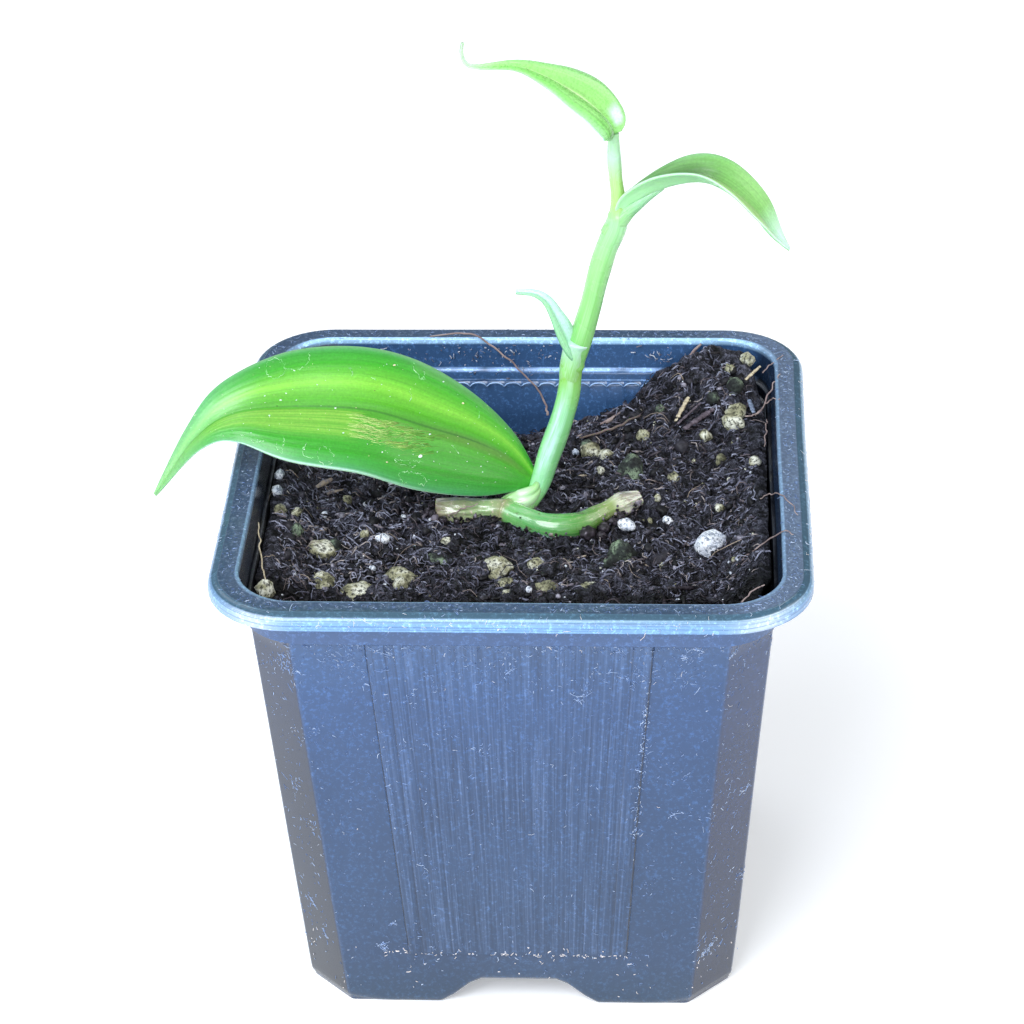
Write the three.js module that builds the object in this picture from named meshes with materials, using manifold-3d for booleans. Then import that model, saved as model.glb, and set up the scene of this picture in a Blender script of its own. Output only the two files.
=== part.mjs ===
// A rooted cutting of variegated vanilla orchid, growing in a square nursery pot.
// Millimetres, +Z up. X runs along the pot's front face from left to right, and Y from front to back.
// The origin is on the pot's axis, on the plane that the pot stands on.
import * as THREE from "three";
import { mergeVertices } from "three/addons/utils/BufferGeometryUtils.js";
import Module from "manifold-3d";

const wasm = await Module();
wasm.setup();

// Driving dimensions of the pot.
const RIM_WIDTH = 90; // across the flange from flat to flat
const POT_HEIGHT = 80;
const WALL = 1.0;
const CORNER_STEPS = 6; // facets round each corner
const FLANGE_WIDTH = 4.6; // the flat rim, seen from above
const SHOULDER = 1.5; // rounding from the flat rim into the lip
const LIP_DROP = 2.65; // height of the turned-down lip
const RIM_CORNER = 12.8;
const NECK = { half: 40.2, corner: 9.8, z: 73.2 }; // the round-cornered band under the flange
const SHELF_Z = 71.8; // where the body starts under the neck
const EDGE_HEIGHT = 0.5; // of the rounded edges at the feet, the mouth and the neck
const FOOT_EDGE = { inset: 0.4, corner: 0.2 };
const MOUTH_EDGE = { inset: 0.4, corner: 0.6 };
const FLANGE_THICKNESS = 1.1;
const SHELF_LAP = 0.2; // how far the panel and the inner wall lap over the shelf
const BODY_TOP_HALF = 39.2;
const BODY_BOTTOM_HALF = 33.75;
const CHAMFER = 6.6; // how far each cut corner runs along a side
const FLOOR = 1.2;
const INNER_CHAMFER = CHAMFER - 0.6 * WALL; // the cut corner as it runs inside the wall
const ARCH = { height: 4.6, topHalf: 6, bottomHalf: 12.7 }; // the notch in each bottom edge
const PAD = { radius: 8, taper: 0.5, height: 5.4, sides: 24 }; // under the middle of the base
const DRAIN = { radius: 3.5, distance: 21, sides: 16 }; // holes in the roof of the drain channels
const PANEL = { bottomZ: 10.4, topHalf: 21.3, bottomHalf: 17, raise: 0.5, depth: 0.35, flutes: 15 };

// Pieces that touch keep this gap between their faces.
const CLEARANCE = 0.3;
const FACET_SLACK = 0.05; // added where one of the two faces is coarsely faceted

// The soil's level, and where it is heaped or sunken: centre x and y, spread in x and y, height.
const SOIL_LEVEL = 70;
const SOIL_BOTTOM = ARCH.height + WALL + CLEARANCE; // it lies on the roofs of the drain channels
const SOIL_EDGE_GAP = 1.3; // the dried soil has shrunk from the wall near the top
const SHRINK_START = 56; // height from which it has shrunk
const SOIL_RELIEF = [
  [36, 38, 15, 14, 9],
  [-2, 38, 21, 9, -6],
  [-34, 34, 14, 12, -3],
  [30, 16, 16, 14, 1.6],
  [2, 2, 16, 8, 0.8],
  [0, -40, 60, 12, -1.6],
];
const SOIL_RINGS = 12; // rings of the soil's top, from its edge to its middle
const SIDE_STRETCHES = 5; // pieces that each side of those rings is split into

// The cut stem that was laid in the soil: centre line and radius, from its left end to its right end.
const OLD_STEM_LINE = [
  [-13.2, 0.1, 71.0],
  [-9.5, 0.1, 71.1],
  [-6, 0.1, 71.1],
  [-2.5, -0.2, 71.2],
  [0.5, -2.3, 71.1],
  [3.4, -3.8, 70.9],
  [6.6, -4.4, 70.8],
  [9.7, -3.6, 70.9],
  [12.7, -1.0, 71.2],
  [15.8, 1.2, 71.6],
  [18.9, 2.9, 72.1],
];
const OLD_STEM_RADII = [1.75, 2.0, 1.75, 2.1, 1.9, 2.0, 2.1, 2.0, 1.75, 1.6, 1.25];

// Roots go down from the joint of the old stem; each is a centre line that starts at the crown.
const CROWN = [-2, -0.2, 70.2];
const ROOT_RADIUS = 1.1;
const ROOT_LINES = [
  [CROWN, [-5, -2, 62], [-11, -5, 55], [-14, -10, 46], [-13, -14, 36]],
  [CROWN, [0, 3, 62], [4, 9, 55], [5, 15, 47], [3, 18, 38]],
  [CROWN, [1, -3, 61], [7, -8, 53], [13, -12, 46], [15, -14, 34]],
  [CROWN, [-3, 1, 60], [-6, 7, 52], [-12, 12, 44]],
];

// The green shoot: centre line from its foot on the old stem to the base of the top leaf.
const SHOOT_LINE = [
  [1.2, 1.6, 71.4],
  [2.9, 3.6, 73.6],
  [4.6, 4, 79],
  [6.4, 4, 84.5],
  [7.75, 4, 89.8],
  [8.4, 4, 95],
  [9.9, 4, 100.1],
  [11.4, 4, 105.6],
  [12.6, 4, 110.8],
  [13.85, 4, 115.2],
  [15.4, 4, 119.4],
  [15.7, 4, 123],
  [15.35, 4, 126.8],
  [15.1, 4, 130.5],
  [15.1, 4, 134],
];
const SHOOT_RADII = [1.3, 1.65, 1.85, 1.85, 1.75, 1.7, 1.85, 1.68, 1.68, 1.68, 1.7, 1.15, 1, 1, 1.1];

// Each blade follows a spine from its base to its tip. half is its half width and roll its turn about
// the spine, both along the spine; side is the way its first margin points before it is rolled.
// fold lifts both margins into a V, bulge rounds each half, droop turns the margins down again and
// cup scales all three along the spine.
const LARGE_LEAF = {
  spine: [
    [2.5, 4, 73.8],
    [-4.4, 3.4, 78.3],
    [-14, 2.4, 83.6],
    [-23.5, 1.2, 88],
    [-34.9, 0, 89.4],
    [-43.9, -1.4, 89.3],
    [-50, -2.6, 85.4],
    [-56.8, -3.6, 75.9],
  ],
  half: [0.9, 6.2, 9.7, 10.5, 9.4, 5.6, 2.5, 0.35],
  roll: [55, 48, 42, 40, 38, 38, 40, 45],
  cup: [1, 1],
  side: [0, 1, 0],
  fold: 0.22,
  bulge: 0.05,
  droop: 0.12,
  thickness: [1.2, 1.0, 0.95, 0.9, 0.8],
  lengthSteps: 24,
  widthSteps: 8,
};
const PETIOLE_LINE = [
  [-2.6, 1.2, 73.6],
  [-0.6, 2.2, 74.2],
  [1.2, 3.4, 74.1],
  [0.9, 4, 75.0],
];
const PETIOLE_RADII = [1.5, 1.4, 1.0, 0.7];
const RIGHT_LEAF = {
  spine: [
    [16.2, 4, 120.6],
    [17.6, 3.9, 123.6],
    [22.4, 3.6, 126.2],
    [27.7, 3, 127.4],
    [31.7, 2.2, 126.4],
    [35.8, 1.6, 123],
    [38.7, 1.2, 119.2],
    [41.4, 1, 116.6],
  ],
  half: [1.5, 1.8, 3.4, 3.3, 3.8, 3.4, 2.1, 0.35],
  roll: [20, 21, 14, -1, -11, -16, -13, -10],
  cup: [1.1, 0.9, 0.9, 1.15, 0.9, 0.75, 0.8, 0.5],
  side: [0, -1, 0],
  fold: 0.7,
  bulge: 0.05,
  droop: 0.1,
  thickness: [2.4, 1.4, 0.9, 0.8, 0.8, 0.7],
  lengthSteps: 20,
  widthSteps: 6,
};
const TOP_LEAF = {
  spine: [
    [14.9, 4, 134.3],
    [14.0, 3.7, 136.3],
    [11.3, 3, 139.7],
    [8.1, 2.2, 142.4],
    [4.3, 1.6, 145],
    [-0.4, 1, 146.5],
    [-5.1, 0.5, 146.7],
    [-6.6, 0.3, 150.6],
  ],
  half: [1.5, 3.6, 4.5, 3.6, 1.9, 0.7, 0.4, 0.35],
  roll: [55, 28, 20, 21, 22, 29, 35, 38],
  cup: [1.5, 1.5, 1.1, 1.3, 1.3, 1, 1, 1],
  side: [0, 1, 0],
  fold: 0.5,
  bulge: 0.15,
  droop: 0.25,
  thickness: [1.2, 1.0, 0.9, 0.8, 0.7, 0.6],
  lengthSteps: 22,
  widthSteps: 6,
};
const SCALE_LEAF = {
  spine: [
    [7.4, 3.4, 98.6],
    [6.9, 2.4, 102.6],
    [5.4, 1.6, 106.4],
    [2.9, 1, 108.7],
    [0, 0.8, 109.3],
  ],
  half: [2.3, 1.7, 1.2, 0.8, 0.55],
  roll: [25, 40, 42, 30, 12],
  cup: [1.2, 1],
  side: [0, 1, 0],
  fold: 0.35,
  bulge: 0.1,
  droop: 0.2,
  thickness: [1.1, 0.9, 0.8, 0.8, 0.8],
  lengthSteps: 12,
  widthSteps: 4,
};

// The larger grit in the soil: centre, sizes along its own three axes, and its turn about Z in degrees.
const PUMICE = [
  { at: [-29.4, -19.3, 69.4], size: [4.3, 3.6, 3.8], turn: 20 },
  { at: [-24.0, -20.4, 68.6], size: [6.2, 4.4, 3.4], turn: 8 },
  { at: [-17.7, -17.4, 69.3], size: [5.4, 4.0, 3.4], turn: -14 },
  { at: [-30.3, -10.2, 70.0], size: [5.2, 4.6, 2.8], turn: -35 },
  { at: [-3.2, -14.4, 69.4], size: [5.4, 4.0, 3.4], turn: 6 },
  { at: [2.9, -13.6, 69.4], size: [3.2, 2.6, 2.8], turn: 40 },
  { at: [-1.3, -18.8, 68.8], size: [3.6, 3.2, 3.0], turn: 75 },
  { at: [4.7, -20.0, 68.8], size: [4.6, 3.4, 3.4], turn: -22 },
  { at: [11.2, -20.2, 68.8], size: [4.0, 3.4, 3.0], turn: 15 },
  { at: [10.6, 20.2, 70.4], size: [3.6, 3.4, 2.8], turn: 0 },
  { at: [13.4, 17.6, 70.6], size: [2.6, 2.2, 2.4], turn: 30 },
  { at: [33.6, 22.4, 74.6], size: [4.4, 3.4, 3.0], turn: -40 },
  { at: [-36.5, -22.3, 70.0], size: [2.4, 2.2, 2.2], turn: 0 },
];
const PERLITE = [
  { at: [30.0, -9.1, 70.8], size: [5.0, 5.2, 4.2], turn: 12 },
  { at: [16.8, -3.9, 71.0], size: [3.2, 1.8, 1.6], turn: -38 },
];
const PEAT_LUMPS = [
  { at: [17.2, 11.6, 70.8], size: [4.8, 4.2, 3.2], turn: 10 },
  { at: [-12.5, -13.6, 69.4], size: [4.4, 4.0, 3.0], turn: 50 },
];

const UP = new THREE.Vector3(0, 0, 1);
const vector = (point) => new THREE.Vector3(...point);
const degrees = THREE.MathUtils.degToRad;
const mix = THREE.MathUtils.lerp;

// Shapes and solids

// A smooth curve through points; it passes its i-th point at the i-th equal step.
function curveThrough(points) {
  return new THREE.CatmullRomCurve3(points.map(vector), false, "catmullrom");
}

// A value that follows a list smoothly from t = 0 to t = 1.
function along(values, t) {
  return curveThrough(values.map((value) => [value, 0, 0])).getPoint(t).x;
}

// The skin over a row of rings of equally many points, closed at both ends by a strip of triangles.
function loft(rings) {
  const count = rings[0].length;
  const positions = rings.flat().flatMap((point) => point.toArray());
  const triangles = [];
  for (let ring = 0; ring + 1 < rings.length; ring++) {
    for (let i = 0; i < count; i++) {
      const next = (i + 1) % count;
      const a = ring * count + i;
      const b = ring * count + next;
      triangles.push(a, b, b + count, a, b + count, a + count);
    }
  }
  const last = (rings.length - 1) * count;
  for (let i = 0; i + 1 < count / 2; i++) {
    const far = count - 1 - i;
    triangles.push(i, far - 1, i + 1, i, far, far - 1);
    triangles.push(last + i, last + i + 1, last + far - 1, last + i, last + far - 1, last + far);
  }
  const geometry = new THREE.BufferGeometry();
  geometry.setAttribute("position", new THREE.Float32BufferAttribute(positions, 3));
  geometry.setIndex(triangles);
  return geometry;
}

// A closed geometry as a solid that can be cut and joined, with its faces pointing out.
function solidOf(geometry) {
  geometry.deleteAttribute("normal");
  geometry.deleteAttribute("uv");
  const merged = mergeVertices(geometry, 1e-5);
  const vertProperties = new Float32Array(merged.attributes.position.array);
  const triVerts = new Uint32Array(merged.index.array);
  const solid = new wasm.Manifold(new wasm.Mesh({ numProp: 3, vertProperties, triVerts }));
  if (solid.volume() > 0) {
    return solid;
  }
  triVerts.reverse();
  return new wasm.Manifold(new wasm.Mesh({ numProp: 3, vertProperties, triVerts }));
}

// The largest body of a solid, without scraps that a cut has left.
function largest(solid) {
  const bodies = solid.decompose();
  return bodies.reduce((best, body) => (body.volume() > best.volume() ? body : best));
}

function join(solids) {
  return solids.reduce((sum, solid) => sum.add(solid));
}

// A square outline with its corners rounded (bulge 1) or cut straight (bulge 0), at one level.
function squareRing(half, corner, bulge, z) {
  const ring = [];
  for (let quarter = 0; quarter < 4; quarter++) {
    for (let step = 0; step <= CORNER_STEPS; step++) {
      const share = step / CORNER_STEPS;
      const angle = (share * Math.PI) / 2;
      const x = mix(half - corner * share, half - corner + corner * Math.cos(angle), bulge);
      const y = mix(half - corner * (1 - share), half - corner + corner * Math.sin(angle), bulge);
      ring.push(new THREE.Vector3(x, y, z).applyAxisAngle(UP, (quarter * Math.PI) / 2));
    }
  }
  return ring;
}

// A round tube along a curve, with a radius that changes along it.
function tube(points, radii, steps, sides, grow = 0) {
  const curve = curveThrough(points);
  const rings = [];
  let across = new THREE.Vector3(0.3, 1, 0.2);
  for (let step = 0; step <= steps; step++) {
    const t = step / steps;
    const centre = curve.getPoint(t);
    const tangent = curve.getTangent(t);
    across = across.clone().projectOnPlane(tangent).normalize();
    const other = tangent.clone().cross(across);
    const radius = along(radii, t) + grow;
    if (step === 0) {
      centre.addScaledVector(tangent, -grow);
    }
    if (step === steps) {
      centre.addScaledVector(tangent, grow);
    }
    const ring = [];
    for (let i = 0; i < sides; i++) {
      const angle = (2 * Math.PI * i) / sides;
      const point = centre.clone().addScaledVector(across, radius * Math.cos(angle));
      ring.push(point.addScaledVector(other, radius * Math.sin(angle)));
    }
    rings.push(ring);
  }
  return solidOf(loft(rings));
}

// A leaf blade: a grid of points over its middle surface, thickened evenly to both faces, which are
// split into triangles alike.
function blade(leaf) {
  const curve = curveThrough(leaf.spine);
  const first = vector(leaf.side);
  const surface = (t, s) => {
    const tangent = curve.getTangent(t);
    const level = first.clone().projectOnPlane(tangent).normalize();
    const lift = level.clone().cross(tangent);
    const roll = degrees(along(leaf.roll, t));
    const width = level.clone().multiplyScalar(Math.cos(roll)).addScaledVector(lift, Math.sin(roll));
    const normal = lift.multiplyScalar(Math.cos(roll)).addScaledVector(level, -Math.sin(roll));
    const out = Math.abs(s);
    const shape = leaf.fold * out + leaf.bulge * Math.sin(Math.PI * out) - leaf.droop * out * out;
    const half = along(leaf.half, t);
    const point = curve.getPoint(t).addScaledVector(width, half * s);
    point.addScaledVector(normal, half * along(leaf.cup, t) * shape);
    return { point, normal };
  };
  const rings = [];
  for (let step = 0; step <= leaf.lengthSteps; step++) {
    const t = step / leaf.lengthSteps;
    const reach = along(leaf.thickness, t) / 2;
    const upper = [];
    const lower = [];
    for (let i = 0; i <= leaf.widthSteps; i++) {
      const { point, normal } = surface(t, (2 * i) / leaf.widthSteps - 1);
      upper.push(point.clone().addScaledVector(normal, reach));
      lower.unshift(point.addScaledVector(normal, -reach));
    }
    rings.push([...upper, ...lower]);
  }
  return solidOf(loft(rings));
}

// A seeded source of random numbers from 0 to 1, so that each stone keeps its own shape.
function randomFrom(seed) {
  let state = seed;
  return () => {
    state = (state * 16807) % 2147483647;
    return state / 2147483647;
  };
}

// A rough stone: a faceted ball with its corners pushed in and out, stretched to its three sizes.
function stone({ at, size, turn }, seed, grow = 0) {
  const ball = new THREE.IcosahedronGeometry(1, 1);
  ball.deleteAttribute("normal");
  ball.deleteAttribute("uv");
  const geometry = mergeVertices(ball, 1e-4);
  const random = randomFrom(1000 + 97 * seed);
  const corners = geometry.attributes.position;
  for (let i = 0; i < corners.count; i++) {
    const corner = new THREE.Vector3().fromBufferAttribute(corners, i);
    const outward = corner.clone();
    corner.multiply(vector(size).multiplyScalar(0.5 * (0.84 + 0.28 * random())));
    corner.addScaledVector(outward, grow).applyAxisAngle(UP, degrees(turn)).add(vector(at));
    corners.setXYZ(i, corner.x, corner.y, corner.z);
  }
  return solidOf(geometry);
}

// The pot

// Half the body's width at a height, on its outer face.
function bodyHalf(z) {
  return mix(BODY_BOTTOM_HALF, BODY_TOP_HALF, z / SHELF_Z);
}

// The cup, as one skin that runs from under the base, up the outside, over the rim and down inside.
function potCup() {
  const rim = RIM_WIDTH / 2;
  const lipBottom = POT_HEIGHT - LIP_DROP;
  const underFlange = POT_HEIGHT - FLANGE_THICKNESS;
  const mouth = rim - FLANGE_WIDTH;
  const roundedTop = rim - 0.3 * SHOULDER;
  return loft([
    squareRing(BODY_BOTTOM_HALF - FOOT_EDGE.inset, CHAMFER - FOOT_EDGE.corner, 0, 0),
    squareRing(bodyHalf(EDGE_HEIGHT), CHAMFER, 0, EDGE_HEIGHT),
    squareRing(bodyHalf(SHELF_Z), CHAMFER, 0, SHELF_Z),
    squareRing(NECK.half, NECK.corner, 1, NECK.z),
    squareRing(mouth + WALL, NECK.corner, 1, underFlange),
    squareRing(rim - WALL, RIM_CORNER - WALL, 1, underFlange),
    squareRing(rim - WALL, RIM_CORNER - WALL, 1, lipBottom),
    squareRing(rim, RIM_CORNER, 1, lipBottom),
    squareRing(rim, RIM_CORNER, 1, POT_HEIGHT - SHOULDER),
    squareRing(roundedTop, RIM_CORNER + roundedTop - rim, 1, POT_HEIGHT - 0.4 * SHOULDER),
    squareRing(rim - SHOULDER, RIM_CORNER - SHOULDER, 1, POT_HEIGHT),
    squareRing(mouth + MOUTH_EDGE.inset, NECK.corner - MOUTH_EDGE.corner, 1, POT_HEIGHT),
    squareRing(mouth, NECK.corner - WALL, 1, POT_HEIGHT - EDGE_HEIGHT),
    squareRing(NECK.half - WALL, NECK.corner - WALL, 1, NECK.z + EDGE_HEIGHT),
    squareRing(bodyHalf(SHELF_Z) - WALL, INNER_CHAMFER, 0, SHELF_Z - SHELF_LAP),
    squareRing(bodyHalf(FLOOR) - WALL, INNER_CHAMFER, 0, FLOOR),
  ]);
}

// A bar along X whose section is the drain channel's, narrowing upwards; grow adds to it all round.
function channelBar(grow, halfLength, bottom) {
  const top = ARCH.height + grow;
  const half = (z) => mix(ARCH.bottomHalf, ARCH.topHalf, z / ARCH.height) + grow;
  const section = new THREE.Shape([
    new THREE.Vector2(-half(bottom), bottom),
    new THREE.Vector2(half(bottom), bottom),
    new THREE.Vector2(ARCH.topHalf + grow, top),
    new THREE.Vector2(-ARCH.topHalf - grow, top),
  ]);
  const bar = new THREE.ExtrudeGeometry(section, { depth: 2 * halfLength, bevelEnabled: false });
  bar.translate(0, 0, -halfLength);
  return bar.rotateX(Math.PI / 2).rotateZ(Math.PI / 2);
}

// Two such bars crossing on the pot's axis.
function channelCross(grow, halfLength, bottom) {
  const alongX = solidOf(channelBar(grow, halfLength, bottom));
  const alongY = solidOf(channelBar(grow, halfLength, bottom).rotateZ(Math.PI / 2));
  return alongX.add(alongY);
}

// The raised panel on the front face, fluted like a comb; its top runs into the shelf under the neck.
function flutedPanel() {
  const level = (half, z) => {
    const count = 2 * PANEL.flutes;
    const outer = [];
    const back = [];
    for (let i = 0; i <= count; i++) {
      const x = mix(-half, half, i / count);
      const raise = PANEL.raise - (i % 2 ? PANEL.depth : 0);
      outer.push(new THREE.Vector3(x, -bodyHalf(z) - raise, z));
      back.unshift(new THREE.Vector3(x, -bodyHalf(z) + WALL / 2, z));
    }
    return [...outer, ...back];
  };
  return loft([level(PANEL.bottomHalf, PANEL.bottomZ), level(PANEL.topHalf, SHELF_Z + SHELF_LAP)]);
}

function makePot() {
  const wallMiddle = bodyHalf(0) - WALL / 2;
  let pot = solidOf(potCup()).add(channelCross(WALL, wallMiddle, 0));
  pot = pot.subtract(channelCross(0, RIM_WIDTH, -WALL));
  const pad = new THREE.CylinderGeometry(PAD.radius - PAD.taper, PAD.radius, PAD.height, PAD.sides);
  pot = pot.add(solidOf(pad.rotateX(Math.PI / 2).translate(0, 0, PAD.height / 2)));
  for (let side = 0; side < 4; side++) {
    const turn = (side * Math.PI) / 2;
    const hole = new THREE.CylinderGeometry(DRAIN.radius, DRAIN.radius, 4 * WALL, DRAIN.sides);
    hole.rotateX(Math.PI / 2).translate(DRAIN.distance, 0, ARCH.height + WALL / 2).rotateZ(turn);
    pot = pot.add(solidOf(flutedPanel().rotateZ(turn))).subtract(solidOf(hole));
  }
  return largest(pot);
}

// The soil

function soilHeight(x, y) {
  const heaps = SOIL_RELIEF.map(([cx, cy, wide, deep, height]) => {
    return height * Math.exp(-(((x - cx) / wide) ** 2) - ((y - cy) / deep) ** 2);
  });
  const clods = 0.5 * Math.sin(0.61 * x + 1.3) * Math.sin(0.53 * y) + 0.35 * Math.sin(1.13 * x - 0.9 * y);
  return heaps.reduce((sum, height) => sum + height, SOIL_LEVEL + clods);
}

// The block of soil, before anything is planted or set in it.
function soilBlock() {
  const reach = (z) => bodyHalf(z) - WALL - CLEARANCE - FACET_SLACK;
  const top = reach(SOIL_LEVEL) - SOIL_EDGE_GAP;
  const rings = [SOIL_BOTTOM, SHRINK_START].map((z) => subdivided(squareRing(reach(z), CHAMFER, 0, z)));
  for (let ring = 0; ring < SOIL_RINGS; ring++) {
    const share = 1 - ring / (SOIL_RINGS - 0.6);
    const level = squareRing(top * share, CHAMFER * share, 0.5, 0);
    rings.push(subdivided(level).map((point) => point.setZ(soilHeight(point.x, point.y))));
  }
  return solidOf(loft(rings));
}

// A ring with each long side of the square split into short stretches.
function subdivided(ring) {
  return ring.flatMap((point, i) => {
    const next = ring[(i + 1) % ring.length];
    const isSide = i % (CORNER_STEPS + 1) === CORNER_STEPS;
    const count = isSide ? SIDE_STRETCHES : 1;
    return Array.from({ length: count }, (_, k) => point.clone().lerp(next, k / count));
  });
}

// The plant

const oldStem = (grow) => tube(OLD_STEM_LINE, OLD_STEM_RADII, 24, 10, grow);
const shoot = (grow) => tube(SHOOT_LINE, SHOOT_RADII, 38, 8, grow);
const petiole = (grow) => tube(PETIOLE_LINE, PETIOLE_RADII, 5, 8, grow);
const root = (line, grow) => tube(line, [ROOT_RADIUS, 0.9 * ROOT_RADIUS, 0.6], 8, 6, grow);
const roots = (grow) => join(ROOT_LINES.map((line) => root(line, grow)));

// Where two pieces meet, one gives way to the other's shape grown by the clearance.
const stones = Object.entries({ pumice: PUMICE, perlite: PERLITE, peat_lump: PEAT_LUMPS })
  .flatMap(([kind, specs]) => specs.map((spec, i) => ({ name: `${kind}_${i + 1}`, kind, spec })))
  .map((piece, seed) => ({ ...piece, seed }));
const oldStemRoom = oldStem(CLEARANCE);
const shootRoom = shoot(CLEARANCE);
const shootSolid = largest(shoot(0).subtract(oldStemRoom));
const rootSolid = largest(roots(0).subtract(oldStemRoom));
const largeLeaf = largest(blade(LARGE_LEAF).add(petiole(0)).subtract(shootRoom).subtract(oldStemRoom));
const rightLeaf = largest(blade(RIGHT_LEAF).subtract(shootRoom));
const topLeaf = largest(blade(TOP_LEAF).subtract(shootRoom));
const scaleLeaf = largest(blade(SCALE_LEAF).subtract(shootRoom));
const stoneRooms = stones.map(({ spec, seed }) => stone(spec, seed, CLEARANCE + FACET_SLACK));
const planted = [oldStemRoom, shootRoom, petiole(CLEARANCE), roots(CLEARANCE)];
const soil = [...planted, ...stoneRooms].reduce((rest, room) => rest.subtract(room), soilBlock());

// The finished object

const finish = (color, roughness) => new THREE.MeshStandardMaterial({ color, roughness, metalness: 0 });
const potPlastic = finish(0x4f617c, 0.42);
const peat = finish(0x2b2528, 0.95);
const cutStem = finish(0x7fa860, 0.5);
const rootSkin = finish(0xb9b091, 0.8);
const shootGreen = finish(0x8fe07a, 0.35);
const leafGreen = finish(0x55b838, 0.35);
const youngLeaf = finish(0x8fd873, 0.35);
const stoneFinish = {
  pumice: finish(0xb9b18c, 0.95),
  perlite: finish(0xe6e8ee, 0.9),
  peat_lump: peat,
};

function mesh(name, solid, material) {
  const { vertProperties, triVerts } = solid.getMesh();
  const geometry = new THREE.BufferGeometry();
  geometry.setAttribute("position", new THREE.BufferAttribute(vertProperties, 3));
  geometry.setIndex(new THREE.BufferAttribute(triVerts, 1));
  geometry.computeVertexNormals();
  const piece = new THREE.Mesh(geometry, material);
  piece.name = name;
  return piece;
}

const plant = new THREE.Group();
plant.add(mesh("old_stem", oldStem(0), cutStem));
plant.add(mesh("roots", rootSolid, rootSkin));
plant.add(mesh("shoot_stem", shootSolid, shootGreen));
plant.add(mesh("scale_leaf", scaleLeaf, youngLeaf));
plant.add(mesh("leaf_large", largeLeaf, leafGreen));
plant.add(mesh("leaf_right", rightLeaf, youngLeaf));
plant.add(mesh("leaf_top", topLeaf, youngLeaf));

const orchid = new THREE.Group();
orchid.add(mesh("pot", makePot(), potPlastic));
orchid.add(mesh("soil", largest(soil), peat));
orchid.add(plant);
for (const { name, kind, spec, seed } of stones) {
  orchid.add(mesh(name, stone(spec, seed), stoneFinish[kind]));
}
export default orchid;
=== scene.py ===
import math
from itertools import combinations, product

import bpy
import numpy as np
from mathutils import Matrix, Vector


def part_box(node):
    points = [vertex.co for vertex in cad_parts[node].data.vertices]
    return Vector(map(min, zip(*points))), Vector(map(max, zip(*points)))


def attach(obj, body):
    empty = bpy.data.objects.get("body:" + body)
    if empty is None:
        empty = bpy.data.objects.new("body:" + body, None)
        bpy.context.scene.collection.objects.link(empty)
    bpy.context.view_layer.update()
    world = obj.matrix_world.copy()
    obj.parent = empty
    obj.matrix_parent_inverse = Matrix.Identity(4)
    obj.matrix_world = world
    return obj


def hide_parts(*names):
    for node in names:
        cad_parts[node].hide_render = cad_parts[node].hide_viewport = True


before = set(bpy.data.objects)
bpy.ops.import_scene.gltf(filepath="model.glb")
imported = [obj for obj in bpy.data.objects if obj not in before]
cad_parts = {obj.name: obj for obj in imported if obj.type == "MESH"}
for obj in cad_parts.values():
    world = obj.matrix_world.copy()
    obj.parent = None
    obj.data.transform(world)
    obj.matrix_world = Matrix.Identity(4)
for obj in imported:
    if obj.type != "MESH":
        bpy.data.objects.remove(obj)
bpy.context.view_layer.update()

# Studio
# A pale table top in a bright room. Daylight comes from a window in front and to the left, and the room is
# dimmer at the back. The camera stands in front of the pot, a little to its right, and looks down at it.
MM = 0.001
IMAGE_SIDE = 1024  # pixels
FOCAL_PIXELS = 3551.3
SENSOR = 36
CAMERA_PLACE = Vector((26.5, -477.2, 358.8)) * MM
CAMERA_YAW = -0.05803
CAMERA_PITCH = 0.54211
CAMERA_ROLL = -0.02451


def linear(colour):
    """The linear red, green, blue and alpha of an sRGB hex colour."""
    parts = [int(colour[i : i + 2], 16) / 255 for i in (1, 3, 5)]
    return [p / 12.92 if p <= 0.04045 else ((p + 0.055) / 1.055) ** 2.4 for p in parts] + [1]


def add(tree, kind, inputs=(), out=0, stops=None, **settings):
    """Adds a shader node and returns one of its outputs, or all of them for None. inputs gives sockets, by
    name or in order, a value or another node's output. stops gives the places and colours of a ramp."""
    made = tree.nodes.new("ShaderNode" + kind)
    for name, value in settings.items():
        setattr(made, name, value)
    for name, value in inputs.items() if isinstance(inputs, dict) else enumerate(inputs):
        if isinstance(value, bpy.types.NodeSocket):
            tree.links.new(value, made.inputs[name])
        else:
            made.inputs[name].default_value = linear(value) if isinstance(value, str) else value
    if stops:
        ramp = made.color_ramp.elements
        while len(ramp) < len(stops):
            ramp.new(0.5)
        for element, (place, value) in zip(ramp, stops):
            element.position = place
        for element, (place, value) in zip(ramp, stops):
            element.color = linear(value) if isinstance(value, str) else (value, value, value, 1)
    return made.outputs if out is None else made.outputs[out]


def new_material(name):
    """A new material, its node tree and its shader."""
    material = bpy.data.materials.new(name)
    material.use_nodes = True
    return material, material.node_tree, material.node_tree.nodes["Principled BSDF"]


def streaks(tree, place, scale, detail=2, roughness=0.5, stops=None):
    """Cloudy values over a place, stretched into streaks by its scale along each axis. stops may give them
    other values, by a ramp."""
    stretched = add(tree, "Mapping", {"Vector": place, "Scale": scale})
    cloud = {"Vector": stretched, "Scale": 1, "Detail": detail, "Roughness": roughness}
    values = add(tree, "TexNoise", cloud)
    return add(tree, "ValToRGB", (values,), stops=stops) if stops else values


def shaded(tree, colour, value, low, high):
    """Darkens and lightens a colour by a noise value, from the factor low to the factor high."""
    limits = {"From Min": 0.3, "From Max": 0.7, "To Min": low, "To Max": high}
    shade = add(tree, "MapRange", {"Value": value, **limits})
    return add(tree, "VectorMath", {0: colour, "Scale": shade}, operation="SCALE")


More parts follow.
